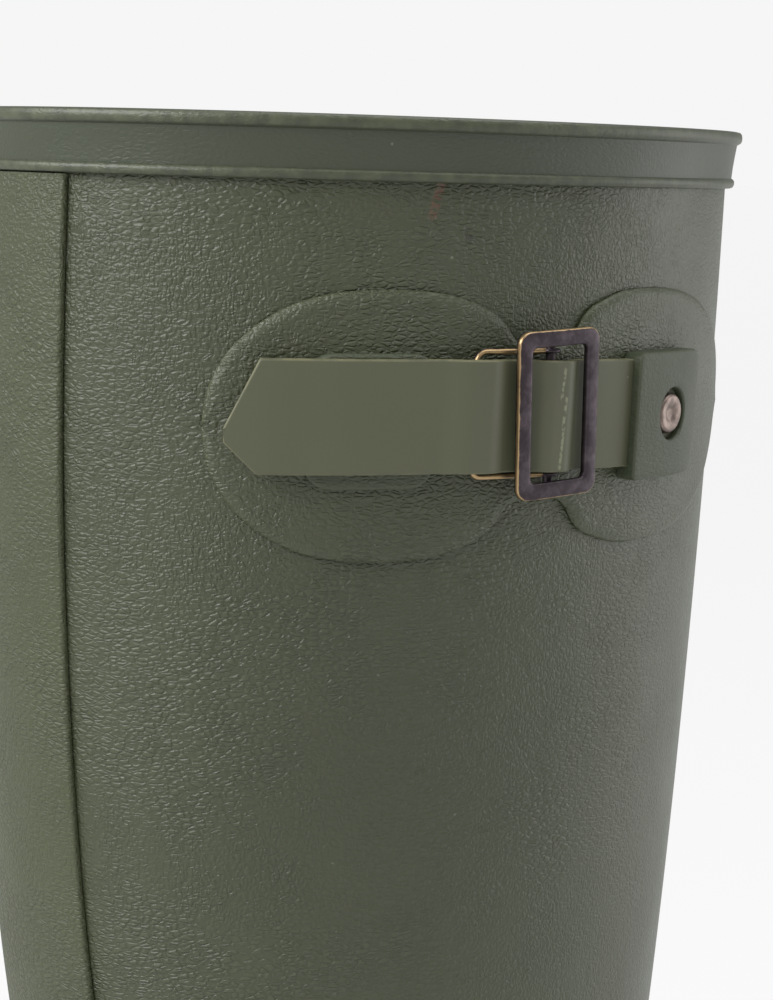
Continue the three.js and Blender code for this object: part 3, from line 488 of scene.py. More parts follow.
@dataclass
class Shell:
    """Points and faces of one surface. edge is 1 where an edge wears or is cut, and on the collar
    band's beads, where it marks a painted highlight; else 0.
    """

    points: Array
    quads: Array
    caps: list[list[int]] = field(default_factory=list)
    edge: Array | None = None
    finish: int = 0

    @classmethod
    def grid(cls, points: Array, closed: bool = False, **extra: object) -> "Shell":
        """Surface over a grid of rows.

        Args:
            points: Grid of rows, columns and three.
            closed: True if the last column joins the first.
            extra: Other fields.

        Returns:
            The surface.
        """
        rows, columns = points.shape[:2]
        index = np.arange(rows * columns).reshape(rows, columns)
        if closed:
            index = np.concatenate([index, index[:, :1]], axis=1)
        corners = (index[:-1, :-1], index[:-1, 1:], index[1:, 1:], index[1:, :-1])
        quads = np.stack([corner.ravel() for corner in corners], axis=-1)
        return cls(points.reshape(-1, 3), quads, **extra)

    @classmethod
    def tube(cls, rings: Array, edge: Array | None = None) -> "Shell":
        """Closed body from a stack of rings, with both ends capped.

        Args:
            rings: Stack of rings, rows of points.
            edge: Edge value of every point.

        Returns:
            The closed surface.
        """
        shell = cls.grid(rings, closed=True, edge=edge)
        rows, columns = rings.shape[:2]
        last = (rows - 1) * columns
        shell.caps = [list(range(columns))[::-1], list(range(last, last + columns))]
        return shell


@dataclass
class Part:
    """One piece of the picture, built from shells and set in the part's frame."""

    form: BootForm

    def make(
        self,
        name: str,
        shells: Sequence[Shell],
        materials: Sequence[bpy.types.Material],
        slot: str,
        node: str,
        sharp: float = 40,
    ) -> bpy.types.Object:
        """Builds the object, dresses it and makes it stand for its CAD node.

        Args:
            name: Name of the piece.
            shells: Surfaces in boot coordinates.
            materials: Materials, in the order that the shells' finish counts them.
            slot: Not used.
            node: CAD node that the piece stands for.
            sharp: Angle in degrees above which an edge stays sharp.

        Returns:
            The new object.
        """
        points, faces, finishes, edges, start = [], [], [], [], 0
        for shell in shells:
            points.append(shell.points)
            count = len(shell.points)
            edges.append(np.zeros(count) if shell.edge is None else np.ravel(shell.edge))
            faces += (shell.quads + start).tolist()
            faces += [[i + start for i in cap] for cap in shell.caps]
            finishes += [shell.finish] * (len(shell.quads) + len(shell.caps))
            start += count
        x, y, z = np.concatenate(points).T
        middle = self.form.sizes.heel_length / 2
        placed = np.stack([-x, middle - y, z], axis=-1) / 1000
        mesh = bpy.data.meshes.new(name)
        mesh.from_pydata(placed.tolist(), [], faces)
        edge = mesh.attributes.new("edge", "FLOAT", "POINT")
        edge.data.foreach_set("value", np.concatenate(edges))
        for material in materials:
            mesh.materials.append(material)
        mesh.polygons.foreach_set("material_index", finishes)
        self._weld(mesh)
        mesh.shade_smooth()
        mesh.set_sharp_from_angle(angle=math.radians(sharp))
        piece = bpy.data.objects.new(name, mesh)
        bpy.context.scene.collection.objects.link(piece)
        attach(piece, "root")
        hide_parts(node)
        log.info("%s: %d faces", name, len(mesh.polygons))
        return piece

    @staticmethod
    def _weld(mesh: bpy.types.Mesh) -> None:
        """Joins points that lie together and turns all faces outwards.

        Args:
            mesh: Mesh to mend.
        """
        work = bmesh.new()
        work.from_mesh(mesh)
        bmesh.ops.remove_doubles(work, verts=work.verts, dist=2e-6)
        bmesh.ops.recalc_face_normals(work, faces=work.faces)
        work.to_mesh(mesh)
        work.free()


@dataclass(frozen=True)
class Dent:
    """Soft dent or fold in the upper, at its place on the form, in mm of depth."""

    u: float
    v: float
    across_u: float
    across_v: float
    depth: float
    side: Side | None = None

    def at(self, u: Array, v: Array, side: Side) -> Array:
        """Depth at places of the form: a bell in both directions.

        Args:
            u: Sections.
            v: Places round each section.
            side: Side of the boot.

        Returns:
            Depth at each place.
        """
        if self.side not in (None, side):
            return np.zeros(np.broadcast(u, v).shape)
        bell = np.exp(-(((u - self.u) / self.across_u) ** 2) - ((v - self.v) / self.across_v) ** 2)
        return self.depth * bell


@dataclass
class Upper(Part):
    """Grained rubber upper with its cloth lining."""

    dents: tuple[Dent, ...] = (
        Dent(0.66, 0.0, 0.018, 0.5, 0.9),
        Dent(0.74, 0.02, 0.02, 0.55, 1.1),
        Dent(0.83, 0.0, 0.022, 0.5, 1.0),
        Dent(0.97, 0.05, 0.03, 0.4, 0.7),
        Dent(0.7, 0.0, 0.016, 0.5, -0.6),
        Dent(0.785, 0.0, 0.018, 0.5, -0.7),
        Dent(0.42, 0.1, 0.03, 0.35, 0.7),
        Dent(0.47, 0.05, 0.02, 0.35, -0.3),
        Dent(1.3, 0.75, 0.05, 0.3, 0.8, Side.OUTER),
        Dent(1.42, 0.8, 0.06, 0.25, 0.7, Side.INNER),
        Dent(1.5, 0.35, 0.08, 0.2, 0.6, Side.OUTER),
        Dent(1.62, 0.3, 0.07, 0.25, 0.7, Side.INNER),
        Dent(2.55, 0.86, 0.13, 0.05, 0.35, Side.OUTER),
        Dent(2.35, 0.45, 0.2, 0.12, 0.5, Side.INNER),
    )
    foot_rows: int = 120
    ankle_rows: int = 60
    shaft_rows: int = 56
    columns: int = 56

    def surface(self, u: Array, v: Array, side: Side, offset: float) -> Array:
        """Points of the dented wall at an offset.

        Args:
            u: Sections.
            v: Places round each section.
            side: Side of the boot.
            offset: Distance outside, in millimetres.

        Returns:
            Points.
        """
        depth = sum(dent.at(u, v, side) for dent in self.dents)
        rim = np.clip((3 - u) * 8, 0, 1) * np.clip(u * 6, 0, 1)
        return self.form.skin(u, v, side, offset - depth * rim)

    def rows(self, offset: float) -> Array:
        """Grid of the wall: every section, round from edge to edge.

        Args:
            offset: Distance outside, in millimetres.

        Returns:
            Grid of points.
        """
        foot, ankle = evenly(0, 1, self.foot_rows), evenly(1, 2, self.ankle_rows)
        places = np.concatenate([foot, ankle[1:], evenly(2, 3, self.shaft_rows)[1:]])
        columns = evenly(1, 0, self.columns)
        u, v = np.meshgrid(places, columns, indexing="ij")
        outer = self.surface(u, v, Side.OUTER, offset)
        inner = self.surface(u, v[:, ::-1], Side.INNER, offset)
        return np.concatenate([outer, inner[:, 1:]], axis=1)

    def build(self, *finishes: bpy.types.Material) -> bpy.types.Object:
        """Builds outer wall, inner wall and rim, finished in this order.

        Args:
            finishes: Finishes of outer wall, inner wall and rim.

        Returns:
            The new object.
        """
        wall = self.form.sizes.wall
        outside, inside = self.rows(0), self.rows(-wall)
        rim = [outside[-1] + (inside[-1] - outside[-1]) * share for share in evenly(0, 1, 4)]
        strip = np.stack(rim)
        foot = self.foot_rows + 1
        edges = [
            np.stack([outside[:foot, column], inside[:foot, column]]) for column in (0, -1)
        ]
        shells = [
            Shell.grid(outside),
            Shell.grid(inside, finish=1),
            Shell.grid(strip, finish=2),
            *(Shell.grid(edge) for edge in edges),
        ]
        return self.make("boot_upper", shells, finishes, "upper_rubber", "upper", 70)


@dataclass
class CollarBand(Part):
    """Moulded band round the collar."""

    # drop below the top and lift above the shaft
    profile: tuple[tuple[float, float], ...] = (
        (10.3, 0.25),
        (10.42, 0.9),
        (10.2, 1.4),
        (9.7, 1.62),
        (9.1, 1.6),
        (8.75, 1.35),
        (8.6, 1.05),
        (6.5, 1.2),
        (4.2, 1.48),
        (2.45, 1.72),
        (2.25, 2.05),
        (2.0, 2.42),
        (1.6, 2.6),
        (1.0, 2.6),
        (0.45, 2.5),
        (0.12, 2.2),
        (0.0, 1.7),
        (0.0, 0.2),
    )
    # the top bead's surface lies above this lift, the lower bead's below this drop
    top_bead: float = 2.4
    low_bead: float = 8.7

    def build(self, rubber: bpy.types.Material) -> bpy.types.Object:
        """Carries the profile round the shaft.

        Args:
            rubber: Rubber finish.

        Returns:
            The new object.
        """
        v = evenly(1, 0, 110)
        loops, wear = [], []
        for drop, lift in self.profile:
            u = np.full(v.shape, 3 - drop / self.form.sizes.shaft_height)
            outer = self.form.skin(u, v, Side.OUTER, lift)
            inner = self.form.skin(u, v[::-1], Side.INNER, lift)
            loops.append(np.concatenate([outer, inner[1:-1]]))
            # Painted highlight: both beads are marked in the edge value, so the band's finish
            # paints them lighter, broken up by noise.
            bead_highlight = lift > self.top_bead or (drop > self.low_bead and lift > 1.2)
            wear.append(np.full(len(loops[-1]), float(bead_highlight)))
        loops.append(loops[0])
        wear.append(wear[0])
        shell = Shell.grid(np.stack(loops), closed=True, edge=np.stack(wear))
        return self.make("boot_collar_band", [shell], (rubber,), "band_rubber", "collar_band", 50)


@dataclass
class BackStrip(Part):
    """Reinforcing strip down the back centre line."""

    width: float = 28.4
    thickness: float = 1.0
    foot: float = 16.0
    bead: float = 0.7
    top_drop: float = 10.6
    lowest: float = 0.25

    def build(self, rubber: bpy.types.Material) -> bpy.types.Object:
        """Builds the strip as rows of one closed section, from its foot to the band.

        Args:
            rubber: Rubber finish.

        Returns:
            The new object.
        """
        sizes = self.form.sizes
        start = 1 + self.foot / (self.form.shaft_foot - sizes.heel_height)
        rows = evenly(start, 3 - self.top_drop / sizes.shaft_height, 150)
        half, bead, high = self.width / 2, self.bead, sizes.gap + self.thickness
        turn = evenly(0, np.pi / 2, 4)
        edge = half - bead + bead * np.cos(turn)
        rise = high - bead * (1 - np.sin(turn))
        flat = evenly(half - bead, -half + bead, 24)[1:-1]
        across = np.concatenate([[half], edge, flat, -edge[::-1], [-half]])
        ends = [self.lowest]
        lifts = np.concatenate([ends, rise, np.full(len(flat), high), rise[::-1], ends])
        grid = np.empty((len(rows), len(across), 3))
        for side in Side:
            mine = (across >= 0) if side is Side.OUTER else (across < 0)
            u, x = np.meshgrid(rows, np.abs(across[mine]), indexing="ij")
            angle = np.arccos(np.minimum(x / self.form.swell[side](u), 1))
            grid[:, mine] = self.form.skin(u, 0.5 + angle / np.pi, side, lifts[mine][None])
        worn = np.repeat((np.abs(across) > half - bead)[None], len(rows), axis=0).astype(float)
        shell = Shell.tube(grid, worn)
        return self.make("boot_back_strip", [shell], (rubber,), "strip_rubber", "back_strip", 60)


@dataclass(frozen=True)
class Plate:
    """Flat piece bent onto the shaft, from its two long edges, rear to front."""

    top: Array
    bottom: Array
    thickness: float
    rounding: float
    shoulder: float
    low: HeightAt

    def shell(self, form: BootForm) -> Shell:
        """Builds the plate ring by ring, from its foot up the wall and in to its middle line.

        Args:
            form: Form that the plate lies on.

        Returns:
            The closed surface.
        """
        outline = np.concatenate([self.top, self.bottom[::-1]])
        inward = inward_of(outline)
        middle = (outline + outline[::-1]) / 2
        turn = evenly(0, np.pi / 2, 5)
        rings, heights, wear = [], [], []

        def add(points: Array, height: float, worn: float) -> None:
            """Adds one ring.

            Args:
                points: Points of the ring.
                height: Height of the ring.
                worn: Wear on the ring.
            """
            rings.append(points)
            heights.append(np.full(len(points), height))
            wear.append(np.full(len(points), worn))

        for share in (1, 0.6, 0.25):
            add(outline + (middle - outline) * share, 0, 0.5)
        add(outline, 0, 1)
        for angle in turn:
            inset = self.shoulder * (1 - np.cos(angle))
            height = self.thickness - self.rounding * (1 - np.sin(angle))
            add(outline + inward * inset, height, 1 - angle / turn[-1])
        inner = outline + inward * self.shoulder
        for share in (0.06, 0.15, 0.3, 0.5, 0.75, 1):
            add(inner + (middle - inner) * share, self.thickness, 0)
        flat = np.stack(rings)
        lift = self.low(flat[..., 0]) + np.stack(heights)
        points = form.on_shaft(flat[..., 0], flat[..., 1], lift)
        return Shell.grid(points, closed=True, edge=np.stack(wear))


def inward_of(outline: Array) -> Array:
    """Directions that point into a closed outline, square to it."""
    tangent = np.roll(outline, -1, axis=0) - np.roll(outline, 1, axis=0)
    return unit(np.stack([-tangent[:, 1], tangent[:, 0]], axis=-1))


def level(height: float) -> HeightAt:
    """A height that is the same everywhere."""
    return lambda girth: np.full(np.shape(girth), height)


def rounded_rectangle(width: float, height: float, corner: float, steps: int = 8) -> Array:
    """Closed outline about the origin, counter-clockwise from the middle of the right side.

    Args:
        width: Full width.
        height: Full height.
        corner: Radius of the corners.
        steps: Steps in each corner.

    Returns:
        Points of two.
    """
    turn = evenly(0, np.pi / 2, steps)
    arc = np.stack([np.cos(turn), np.sin(turn)], axis=-1) * corner
    x, y = width / 2 - corner, height / 2 - corner
    quarter = arc + (x, y)
    turned = [quarter, (quarter * (-1, 1))[::-1], quarter * (-1, -1), (quarter * (1, -1))[::-1]]
    corners = np.concatenate(turned)
    closed = np.concatenate([corners, corners[:1]])
    spread = []
    for a, b in zip(closed[:-1], closed[1:]):
        pieces = max(1, round(float(np.linalg.norm(b - a)) / 0.7))
        spread.append(a + (b - a) * evenly(0, 1, pieces)[:-1, None])
    return np.concatenate(spread)


@dataclass
class SideStrap(Part):
    """Strap patch, tabs, strap and rivet on the outer side of the shaft."""

    # places along the strap are counted from the buckle's middle
    patch_start: float = -58.3
    patch_length: float = 121
    patch_drop: float = 49.7
    patch_half: float = 22.2
    patch_thickness: float = 1.05
    patch_rounding: float = 0.95
    patch_shoulder: float = 2.0
    # how far the front lobe's upper edge leads its lower one, as a share of the length
    lobe_lead: float = 0.02
    strap_height: float = 18.5
    strap_thickness: float = 2.0
    strap_rounding: float = 0.35
    strap_end_top: float = 3.5
    # the tip's end edge and the place and drop of its two corners
    tip: float = -54.3
    tip_edge: tuple[float, float] = (49.45, 49.6)
    tip_top: tuple[tuple[float, float], ...] = ((-54.25, 49.3), (-49.4, 38.5))
    tip_bottom: tuple[tuple[float, float], ...] = ((-54.25, 51.7), (-49.6, 56.6))
    body_start: float = -49.1
    body_end: float = 35
    tab_foot: float = 1.5
    tab_width: float = 21
    tab_height: float = 22
    tab_corner: float = 4
    rear_place: float = -31.5
    rear_thickness: float = 1.6
    rear_rounding: float = 0.6
    rear_shoulder: float = 0.8
    tongue_half: float = 7.5
    tongue_thickness: float = 2.2
    tongue_rounding: float = 0.4
    # tongue: place and lift of its lower face
    tongue_route: tuple[tuple[float, float], ...] = (
        (-26, 1.5),
        (-21, 1.5),
        (-15.3, 1.75),
        (-13.2, 1.75),
    )
    front_place: float = 29.2
    front_drop: float = 49.3
    front_top: float = 5.1
    front_bead: float = 0.45
    cut_corner: float = 1.2
    # front tab: place about its middle, how far its top falls there
    front_fall: tuple[tuple[float, float], ...] = ((-10.5, 0), (-4, 0), (5.8, 0.35), (10.5, 1.2))
    # half width and half height of the front tab's hole
    hole: tuple[float, float] = (3.9, 4.6)
    rivet_radius: float = 3.6
    # rivet: share of the radius, height
    rivet_profile: tuple[tuple[float, float], ...] = (
        (0, 0.45),
        (0.25, 0.5),
        (0.45, 0.85),
        (0.75, 1),
        (0.95, 0.6),
        (1, 0),
    )
    # share along the patch, share of its half height
    patch_outline: tuple[tuple[float, float], ...] = (
        (0, 0),
        (0.012, 0.35),
        (0.05, 0.65),
        (0.13, 0.92),
        (0.24, 1),
        (0.34, 0.95),
        (0.41, 0.78),
        (0.445, 0.59),
        (0.5, 0.578),
        (0.535, 0.625),
        (0.56, 0.8),
        (0.61, 0.93),
        (0.71, 1),
        (0.82, 0.95),
        (0.92, 0.74),
        (0.985, 0.36),
        (1, 0),
    )
    # place from the buckle, lift of the strap's lower face, drop of its middle
    route: tuple[tuple[float, float, float], ...] = (
        (-54.3, 4.5, 47.6),
        (-48.9, 4.0, 47.6),
        (-40.7, 3.4, 47.6),
        (-21.7, 3.4, 47.6),
        (-16.3, 4.35, 47.67),
        (-13.3, 4.35, 47.73),
        (-8.1, 2.23, 47.86),
        (-5.7, 2.23, 47.93),
        (-1.36, 4.25, 48.05),
        (1.05, 4.25, 48.12),
        (5.25, 1.8, 48.25),
        (9.1, 1.5, 48.38),
        (35, 1.5, 48.9),
    )

    def patch(self, rubber: bpy.types.Material) -> bpy.types.Object:
        """Builds the two-lobed patch.

        Args:
            rubber: Rubber finish.

        Returns:
            The new object.
        """
        place, half_share = np.array(self.patch_outline).T
        half = Curve(self._ease(place), half_share)
        share = evenly(0, 1, 150)
        along = (1 - np.cos(np.pi * share)) / 2
        lead = self.lobe_lead * np.sin(np.pi * np.clip((along - 0.5) / 0.5, 0, 1))
        girth = self.form.sizes.buckle_girth + self.patch_start + self.patch_length * along
        high = self.patch_half * np.maximum(half(self._ease(np.minimum(along + lead, 1))), 0)
        low = self.patch_half * np.maximum(half(share), 0)
        plate = Plate(
            np.stack([girth, self.patch_drop - high], axis=-1),
            np.stack([girth, self.patch_drop + low], axis=-1),
            self.patch_thickness,
            self.patch_rounding,
            self.patch_shoulder,
            level(self.form.sizes.gap),
        )
        shell = plate.shell(self.form)
        return self.make("boot_strap_patch", [shell], (rubber,), "upper_rubber", "strap_patch", 60)

    @staticmethod
    def _ease(along: Array) -> Array:
        """Share of the way whose cosine spacing gives the share along."""
        return np.arccos(1 - 2 * along) / np.pi

    def strap(self, rubber: bpy.types.Material) -> bpy.types.Object:
        """Builds the strap, from its pointed tip to its end under the front tab.

        Args:
            rubber: Rubber finish.

        Returns:
            The new object.
        """
        place, lifts, drops = np.array(self.route).T
        lift, middle = Curve(place, lifts), Curve(place, drops)
        half = self.strap_height / 2
        body = evenly(self.body_start, self.body_end, 170)
        edges = []
        for end, tip, turn in zip(self.tip_edge, (self.tip_top, self.tip_bottom), (-half, half)):
            straight = np.stack([body, middle(body) + turn], axis=-1)
            edges.append(np.concatenate([[(self.tip, end)], np.linspace(*tip, 10), straight]))
        shift = (self.form.sizes.buckle_girth, 0)
        plate = Plate(
            edges[0] + shift,
            edges[1] + shift,
            self.strap_thickness,
            self.strap_rounding,
            self.strap_rounding,
            lambda girth: lift(girth - self.form.sizes.buckle_girth),
        )
        shell = plate.shell(self.form)
        return self.make("boot_strap", [shell], (rubber,), "strap_rubber", "strap", 50)

    def rear_tab(self, rubber: bpy.types.Material) -> bpy.types.Object:
        """Builds the flap under the strap and the tongue that holds the base loop.

        Args:
            rubber: Rubber finish.

        Returns:
            The new object.
        """
        sizes, corner = self.form.sizes, self.tab_corner
        girth, drop = sizes.buckle_girth, sizes.strap_drop
        centre = np.array([girth + self.rear_place, drop + 1])
        x = rounded(-self.tab_width / 2, self.tab_width / 2, 40)
        past = np.maximum(np.abs(x) - self.tab_width / 2 + corner, 0)
        half = self.tab_height / 2 - corner + np.sqrt(np.maximum(corner**2 - past**2, 0))
        flap = Plate(
            centre + np.stack([x, -half], axis=-1),
            centre + np.stack([x, half], axis=-1),
            self.rear_thickness,
            self.rear_rounding,
            self.rear_shoulder,
            level(self.tab_foot),
        )
        place, lifts = np.array(self.tongue_route).T
        x = evenly(girth + place[0], girth + place[-1], 24)
        tongue = Plate(
            np.stack([x, np.full(x.shape, drop - self.tongue_half)], axis=-1),
            np.stack([x, np.full(x.shape, drop + self.tongue_half)], axis=-1),
            self.tongue_thickness,
            self.tongue_rounding,
            self.tongue_rounding,
            Curve(girth + place, lifts),
        )
        shells = [flap.shell(self.form), tongue.shell(self.form)]
        return self.make("boot_rear_tab", shells, (rubber,), "upper_rubber", "rear_tab", 50)

    def front_tab(self, rubber: bpy.types.Material) -> bpy.types.Object:
        """Builds the tab over the strap's end, with its oval hole and cut rear edge.

        Args:
            rubber: Rubber finish.

        Returns:
            The new object.
        """
        outline = rounded_rectangle(self.tab_width, self.tab_height, self.tab_corner)
        square = rounded_rectangle(self.tab_width, self.tab_height, self.cut_corner)
        pick = np.linspace(0, len(square) - 1, len(outline)).round().astype(int)
        outline = np.where(outline[:, :1] < 0, square[pick], outline)
        wide, tall = self.hole
        angle = np.arctan2(outline[:, 1] / tall, outline[:, 0] / wide)
        oval = np.stack([np.cos(angle), np.sin(angle)], axis=-1)
        inward = inward_of(outline)
        bead, top = self.front_bead, self.front_top
        rings, heights, wear = [outline], [self.tab_foot - 0.1], [1.0]

        def add(ring: Array, height: float, worn: float) -> None:
            """Adds one ring.

            Args:
                ring: Points of the ring.
                height: Height of the ring.
                worn: Wear on the ring.
            """
            rings.append(ring)
            heights.append(height)
            wear.append(worn)

        turn = evenly(0, np.pi / 2, 4)
        for a in turn:
            add(outline + inward * bead * (1 - np.cos(a)), top - bead * (1 - np.sin(a)), 1 - a)
        edge, hole = rings[-1], oval * (wide + bead, tall + bead)
        for share in (0.2, 0.5, 0.8):
            add(edge + (hole - edge) * share, top, 0)
        for a in turn[::-1]:
            grown = bead * (1 - np.cos(a))
            add(oval * (wide + grown, tall + grown), top - bead * (1 - np.sin(a)), 0.6)
        add(oval * (wide, tall), self.strap_end_top - 0.4, 1.0)
        flat = np.stack(rings)
        lift = np.repeat(np.array(heights)[:, None], flat.shape[1], axis=1)
        fall = Curve(*np.array(self.front_fall).T)(flat[..., 0])
        lift = np.where(lift > self.strap_end_top, lift - fall, lift)
        girth = self.form.sizes.buckle_girth + self.front_place + flat[..., 0]
        points = self.form.on_shaft(girth, self.front_drop - flat[..., 1], lift)
        worn = np.repeat(np.clip(wear, 0, 1)[:, None], flat.shape[1], axis=1)
        shell = Shell.grid(points, closed=True, edge=worn)
        return self.make("boot_front_tab", [shell], (rubber,), "upper_rubber", "front_tab", 50)

    def rivet(self, metal: bpy.types.Material) -> bpy.types.Object:
        """Builds the rivet's head: a low dome with a dimple, in the tab's hole.

        Args:
            metal: Metal finish.

        Returns:
            The new object.
        """
        profile = Curve(*np.array(self.rivet_profile).T)
        share, turn = rounded(0, 1, 24), evenly(0, 2 * np.pi, 48)[:-1]
        r, t = np.meshgrid(share, turn, indexing="ij")
        points = self.form.on_shaft(
            self.form.sizes.buckle_girth + self.front_place + self.rivet_radius * r * np.cos(t),
            self.front_drop + self.rivet_radius * r * np.sin(t),
            self.strap_end_top + self.form.sizes.gap + profile(r),
        )
        shell = Shell.grid(points, closed=True, edge=np.clip(r * 1.2 - 0.5, 0, 1))
        return self.make("boot_front_rivet", [shell], (metal,), "pale_metal", "front_rivet", 60)


@dataclass
class Buckle(Part):
    """Buckle frame with its centre bar, and the base loop that turns on it."""

    width: float = 16.5
    height: float = 28.0
    side_bar: float = 2.6
    end_bar: float = 2.8
    outer_corner: float = 2.2
    inner_corner: float = 1.0
    thickness: float = 1.5
    lift: float = 5.4
    bar_lift: float = 3.15
    turn: float = math.radians(2.7)
    tilt: float = math.radians(2.5)
    loop_reach: float = 14.4
    loop_half: float = 10.7
    loop_lift: float = 2.85

    def placed(self, flat: Array, tilted: bool) -> Array:
        """Sets flat points at the buckle's place on the shaft.

        Args:
            flat: Points of x along the girth, y up and z out, about the buckle's middle.
            tilted: True for the frame, which is turned and tilted.

        Returns:
            Points in boot coordinates.
        """
        x, y, z = np.moveaxis(flat, -1, 0)
        if tilted:
            cos, sin = math.cos(self.tilt), math.sin(self.tilt)
            x, z = x * cos + z * sin, z * cos - x * sin
            cos, sin = math.cos(self.turn), math.sin(self.turn)
            x, y = x * cos - y * sin, x * sin + y * cos
            z = z + self.lift
        sizes = self.form.sizes
        return self.form.on_shaft(sizes.buckle_girth + x, sizes.strap_drop - y, z)

    def ring(self) -> Shell:
        """Frame: a soft-edged section carried between its outer and its inner outline.

        Returns:
            The closed surface.
        """
        outer = rounded_rectangle(self.width, self.height, self.outer_corner, 10)
        half = np.array([self.width / 2 - self.side_bar, self.height / 2 - self.end_bar])
        straight = half - self.inner_corner
        corner = np.clip(np.abs(outer) - straight, 0, None)
        reach = np.linalg.norm(corner, axis=1, keepdims=True)
        round_corner = np.minimum(np.abs(outer), straight) + corner / np.maximum(reach, 1e-9)
        inner = np.sign(outer) * np.where(reach > 0, round_corner, np.abs(outer))
        turn = evenly(0, 2 * np.pi, 20)[:-1]
        wide = np.sign(np.cos(turn)) * np.abs(np.cos(turn)) ** 0.55
        tall = np.sign(np.sin(turn)) * np.abs(np.sin(turn)) ** 0.55
        share = (1 + wide) / 2
        flat = inner[None] + (outer - inner)[None] * share[:, None, None]
        height = np.broadcast_to((tall * self.thickness / 2)[:, None, None], flat.shape[:2] + (1,))
        points = self.placed(np.concatenate([flat, height], axis=-1), True)
        rings = np.concatenate([points, points[:1]])
        worn = np.clip(1 - 6 * np.abs(wide - 0.95), 0, 1) * (tall > -0.2) * 1.3
        worn = np.append(worn, worn[0])
        edge = np.repeat(worn[:, None], points.shape[1], axis=1)
        return Shell.grid(rings, closed=True, edge=edge)

    def rod(self, start: Sequence[float], end: Sequence[float], wide: float, tall: float) -> Array:
        """Rings of a round or flat rod between two points, in flat coordinates.

        Args:
            start: First end.
            end: Last end.
            wide: Half width.
            tall: Half height.

        Returns:
            Rings of points.
        """
        start, end = np.array(start, float), np.array(end, float)
        axis = unit(end - start)
        aside = unit(np.cross(axis, (0, 0, 1)))
        up = np.cross(aside, axis)
        turn = evenly(0, 2 * np.pi, 14)[:-1]
        section = aside * np.cos(turn)[:, None] * wide + up * np.sin(turn)[:, None] * tall
        ends = np.array([0, 0.02, 0.25, 0.5, 0.75, 0.98, 1])
        width = np.array([0.6, 1, 1, 1, 1, 1, 0.6])
        return start + (end - start) * ends[:, None, None] + section[None] * width[:, None, None]

    def build_frame(self, metal: bpy.types.Material) -> bpy.types.Object:
        """Builds frame, centre bar and lugs.

        Args:
            metal: Metal finish.

        Returns:
            The new object.
        """
        fall = self.bar_lift - self.lift
        half = self.height / 2 - 0.6
        bar = self.rod((0, -half, fall), (0, half, fall), 0.8, 0.8)
        shells = [self.ring(), Shell.tube(self.placed(bar, True))]
        for end in (1, -1):
            y = end * (half - 1)
            lug = self.rod((0, y, fall - 0.3), (0, y, 0.2), 0.85, 1.0)
            worn = np.full(lug.shape[:2], 0.6)
            shells.append(Shell.tube(self.placed(lug, True), worn))
        return self.make("boot_buckle_frame", shells, (metal,), "aged_metal", "buckle_frame", 50)

    def build_loop(self, metal: bpy.types.Material) -> bpy.types.Object:
        """Builds the base loop: one flat wire bent round, with an eye at each end.

        Args:
            metal: Metal finish.

        Returns:
            The new object.
        """
        y, reach = self.loop_half - 0.4, self.loop_reach
        turn = evenly(0, np.pi / 2, 6)
        lean = y * math.tan(self.turn)
        arc = np.stack([-reach + 1.6 - 1.6 * np.sin(turn), y - 1.6 + 1.6 * np.cos(turn)], axis=-1)
        upper = np.concatenate([np.linspace((-1.0 - lean, y), (-reach + 2.2, y), 8), arc])
        lower = (upper * (1, -1))[::-1]
        lower[:, 0] += np.linspace(0, 2 * lean, len(lower)) * (lower[:, 1] < -y + 0.01)
        path = np.concatenate([upper, lower])
        tangent = unit(np.gradient(path, axis=0))
        aside = np.stack([-tangent[:, 1], tangent[:, 0]], axis=-1)
        angle = evenly(0, 2 * np.pi, 12)[:-1]
        flat = path[:, None] + aside[:, None] * (0.5 * np.cos(angle))[None, :, None]
        lift = np.interp(path[:, 0], [-reach, 0], [self.loop_lift, self.bar_lift])
        height = lift[:, None] + 0.58 * np.sin(angle)[None]
        wire = self.placed(np.concatenate([flat, height[..., None]], axis=-1), False)
        shells = [Shell.tube(wire, np.repeat((0.5 + 0.5 * np.sin(angle))[None], len(path), axis=0))]
        for end in (1, -1):
            shells.append(self._eye(-end * lean, end * y))
        return self.make("boot_buckle_loop", shells, (metal,), "aged_metal", "buckle_loop", 50)

    def _eye(self, x: float, y: float) -> Shell:
        """Eye round the centre bar: a ring whose middle line is a circle across the bar.

        Args:
            x: Place of the ring along the girth.
            y: Place of the ring up the bar.

        Returns:
            The closed surface.
        """
        around, angle = evenly(0, 2 * np.pi, 28)[:-1], evenly(0, 2 * np.pi, 10)[:-1]
        a, b = np.meshgrid(around, angle, indexing="ij")
        radius = 1.32 + 0.27 * np.cos(b)
        lift = self.bar_lift + radius * np.sin(a)
        flat = np.stack([x + radius * np.cos(a), y + 0.37 * np.sin(b), lift], axis=-1)
        points = self.placed(flat, False)
        return Shell.grid(np.concatenate([points, points[:1]]), closed=True)


